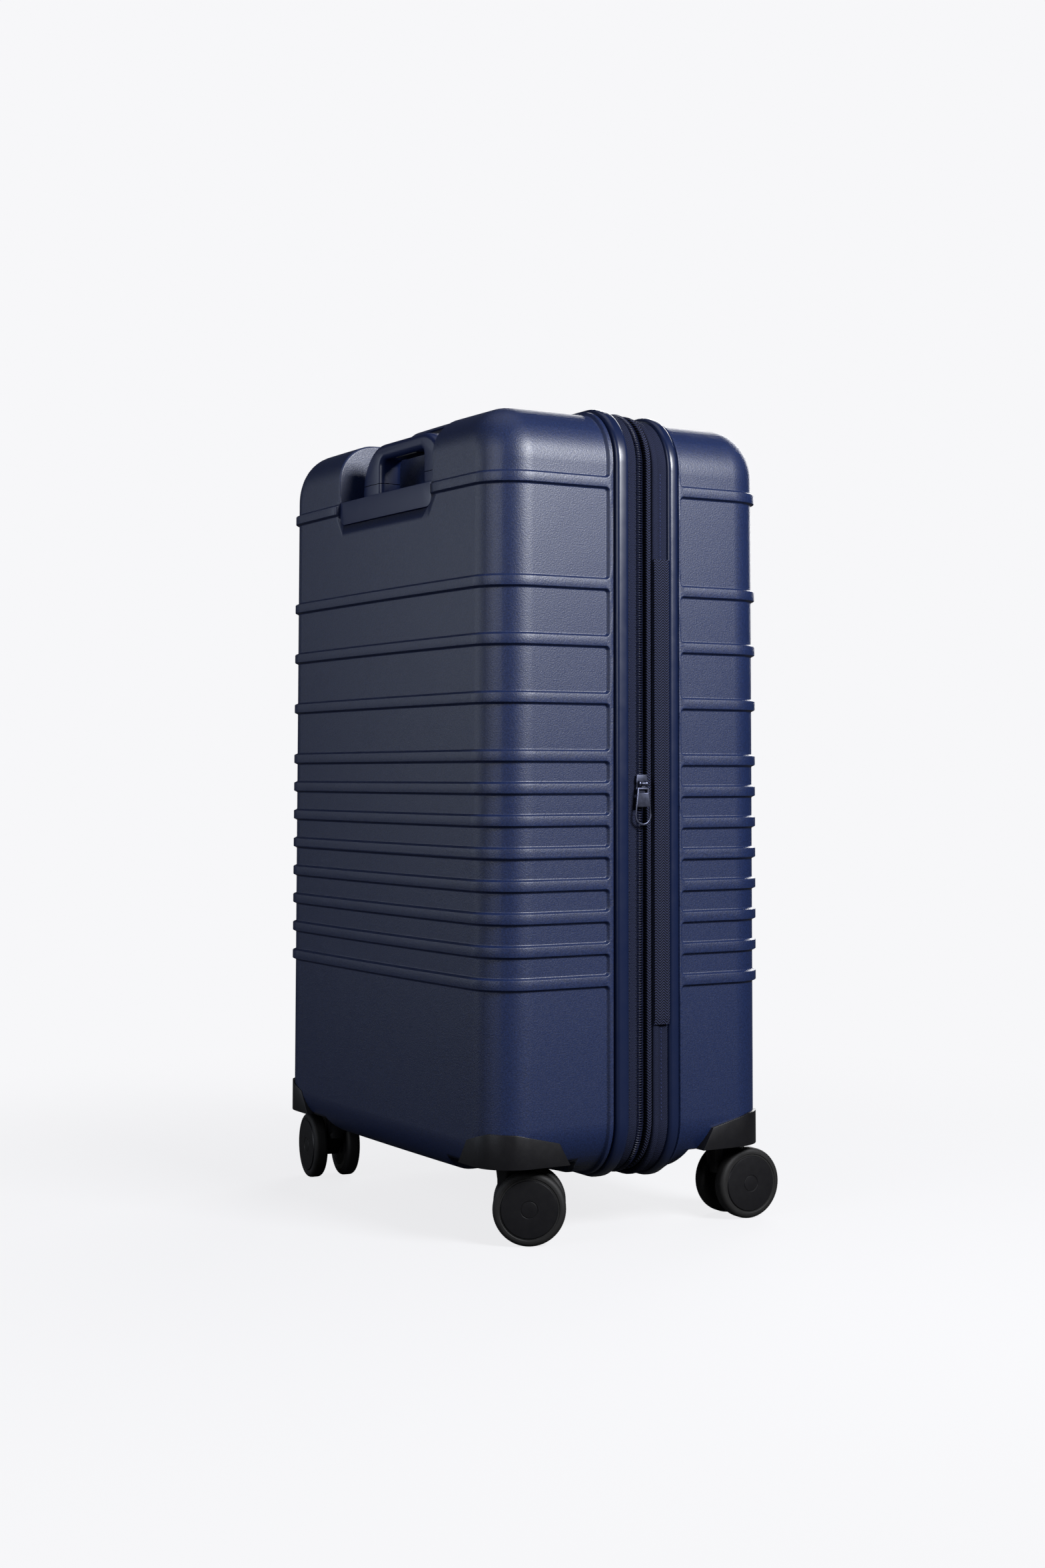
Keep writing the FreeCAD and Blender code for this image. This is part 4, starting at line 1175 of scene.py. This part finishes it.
def floor_material():
    """Pale to the camera, with only a faint shadow, but dark for every other ray."""
    paint = Paint("pale_floor", (0.80, 0.80, 0.81), 0.95, Specular_IOR_Level=0.0)
    glow = paint.node("ShaderNodeEmission")
    glow.inputs["Color"].default_value = (*PALE, 1.0)
    length = paint.node("ShaderNodeVectorMath", operation="LENGTH")
    paint.link(paint.millimetres, length.inputs[0])
    spread = paint.node("ShaderNodeMapRange", interpolation_type="SMOOTHSTEP")
    spread.inputs["From Min"].default_value = SHADOW_RADIUS
    spread.inputs["From Max"].default_value = PLAIN_RADIUS
    spread.inputs["To Min"].default_value = 0.86
    paint.link(length.outputs["Value"], spread.inputs["Value"])
    pale = paint.mix(spread.outputs[0], paint.shader.outputs[0], glow.outputs[0])
    dim = paint.node("ShaderNodeBsdfDiffuse")
    dim.inputs["Color"].default_value = (0.07, 0.07, 0.07, 1.0)
    seen = paint.node("ShaderNodeLightPath")
    surface = paint.mix(seen.outputs["Is Camera Ray"], dim.outputs[0], pale)
    paint.link(surface, paint.tree.nodes["Material Output"].inputs["Surface"])
    paint.bump(paint.noise(900.0, 2.0), 0.1, 0.1)
    return paint.material


def set_stage():
    """A very large plain pale floor that melts into an equally pale surround."""
    bm = bmesh.new()
    ring = disc_points(UP * -FLOOR_SINK, FLOOR_RADIUS, 96, ACROSS, BACK)
    bm.faces.new([bm.verts.new(point) for point in ring])
    floor = finish_mesh(bm, "floor")
    floor.data.materials.append(floor_material())

    world = bpy.data.worlds.new("surround")
    world.use_nodes = True
    tree = world.node_tree
    background = tree.nodes["Background"]
    background.inputs["Color"].default_value = (*PALE, 1.0)
    light_path = tree.nodes.new("ShaderNodeLightPath")
    level = tree.nodes.new("ShaderNodeMapRange")
    level.inputs["To Min"].default_value = SURROUND_LIGHT
    tree.links.new(light_path.outputs["Is Camera Ray"], level.inputs["Value"])
    tree.links.new(level.outputs[0], background.inputs["Strength"])
    bpy.context.scene.world = world
    bpy.context.scene.view_settings.view_transform = "Standard"


# ---- everything else keeps its CAD shape, with eased edges -----------------------------
def refined_parts():
    """The plainer parts: rounded copies, and a few CAD meshes that only get a material."""
    rows = (
        ("side_carry_handle", "side_carry_grip", 1.3, GRIP, "side_carry_handle",
         "handle_plastic"),
        ("rear_caster_housings", "rear_caster_shoes", 1.2, BLACK_PLASTIC, "back_half",
         "black_plastic"),
        ("front_caster_housings", "front_caster_shoes", 1.2, BLACK_PLASTIC, "front_half",
         "black_plastic"),
        ("lock_housing", "lock_case", 0.4, BLACK_PLASTIC, "front_half", "black_plastic"),
        ("lock_button", "lock_release", 0.5, TRIM, "lock_button", "black_plastic"),
        ("packing_straps", "packing_webbing", 0.4, ZIP_TAPE, "back_half", "webbing"),
        ("back_lining", "back_lining_tray", 1.0, LINING, "back_half", "lining"),
        ("front_lining", "front_lining_tray", 1.0, LINING, "front_half", "lining"),
    )
    for node, name, width, material, body, slot in rows:
        dress(refined(node, name, width), material, body, node)
    for number in (1, 2, 3):
        node = "lock_dial_%d" % number
        dress(refined(node, "dial_%d_wheel" % number, 0.4), STEEL, node, node)
    for joint in frame["joints"]:
        if joint["name"].endswith("_swivel"):
            tag = joint["child"][len("caster_"):]
            dress(refined("fork_" + tag, "fork_%s_body" % tag, 0.8), BLACK_PLASTIC,
                  joint["child"], "fork_" + tag)
    keep = {"handle_foot": BLACK_PLASTIC, "rear_kingpins": STEEL, "front_kingpins": STEEL,
            "handle_outer_tubes": TUBE, "handle_middle_tubes": TUBE, "handle_inner_tubes": TUBE}
    for node in frame["nodes"]:
        if node.startswith("axle_"):
            keep[node] = STEEL
    for node, material in keep.items():
        mesh = frame["nodes"][node].data
        mesh.materials.clear()
        mesh.materials.append(material)


def zip_pulls():
    """The three sliders and their pulls; only the lower main pull points up."""
    rows = (("expansion", "", -1, -1), ("main", "_upper", 1, -1), ("main", "_lower", 1, 1))
    for word, end, side_x, _ in rows:
        slider_body(word + "_zip_slider" + end, word + "_slider" + end, side_x)
    for word, end, side_x, direction in rows:
        zip_puller(word + "_pull_tab" + end, word + "_pull" + end, word + "_zip_pull" + end,
                   side_x, direction)


set_camera()
set_lights()
set_stage()
back_shell()
front_shell()
edge_trim("back_trim_frame", "back_edge_trim", "back_half", 0.0)
edge_trim("front_trim_frame", "front_edge_trim", "front_half", FRONT_DROP)
expansion_zip()
expander_web()
main_zip()
gusset()
hinge_strip()
wheels()
recess_plate()
trolley_grip()
top_carry_strap()
refined_parts()
zip_pulls()
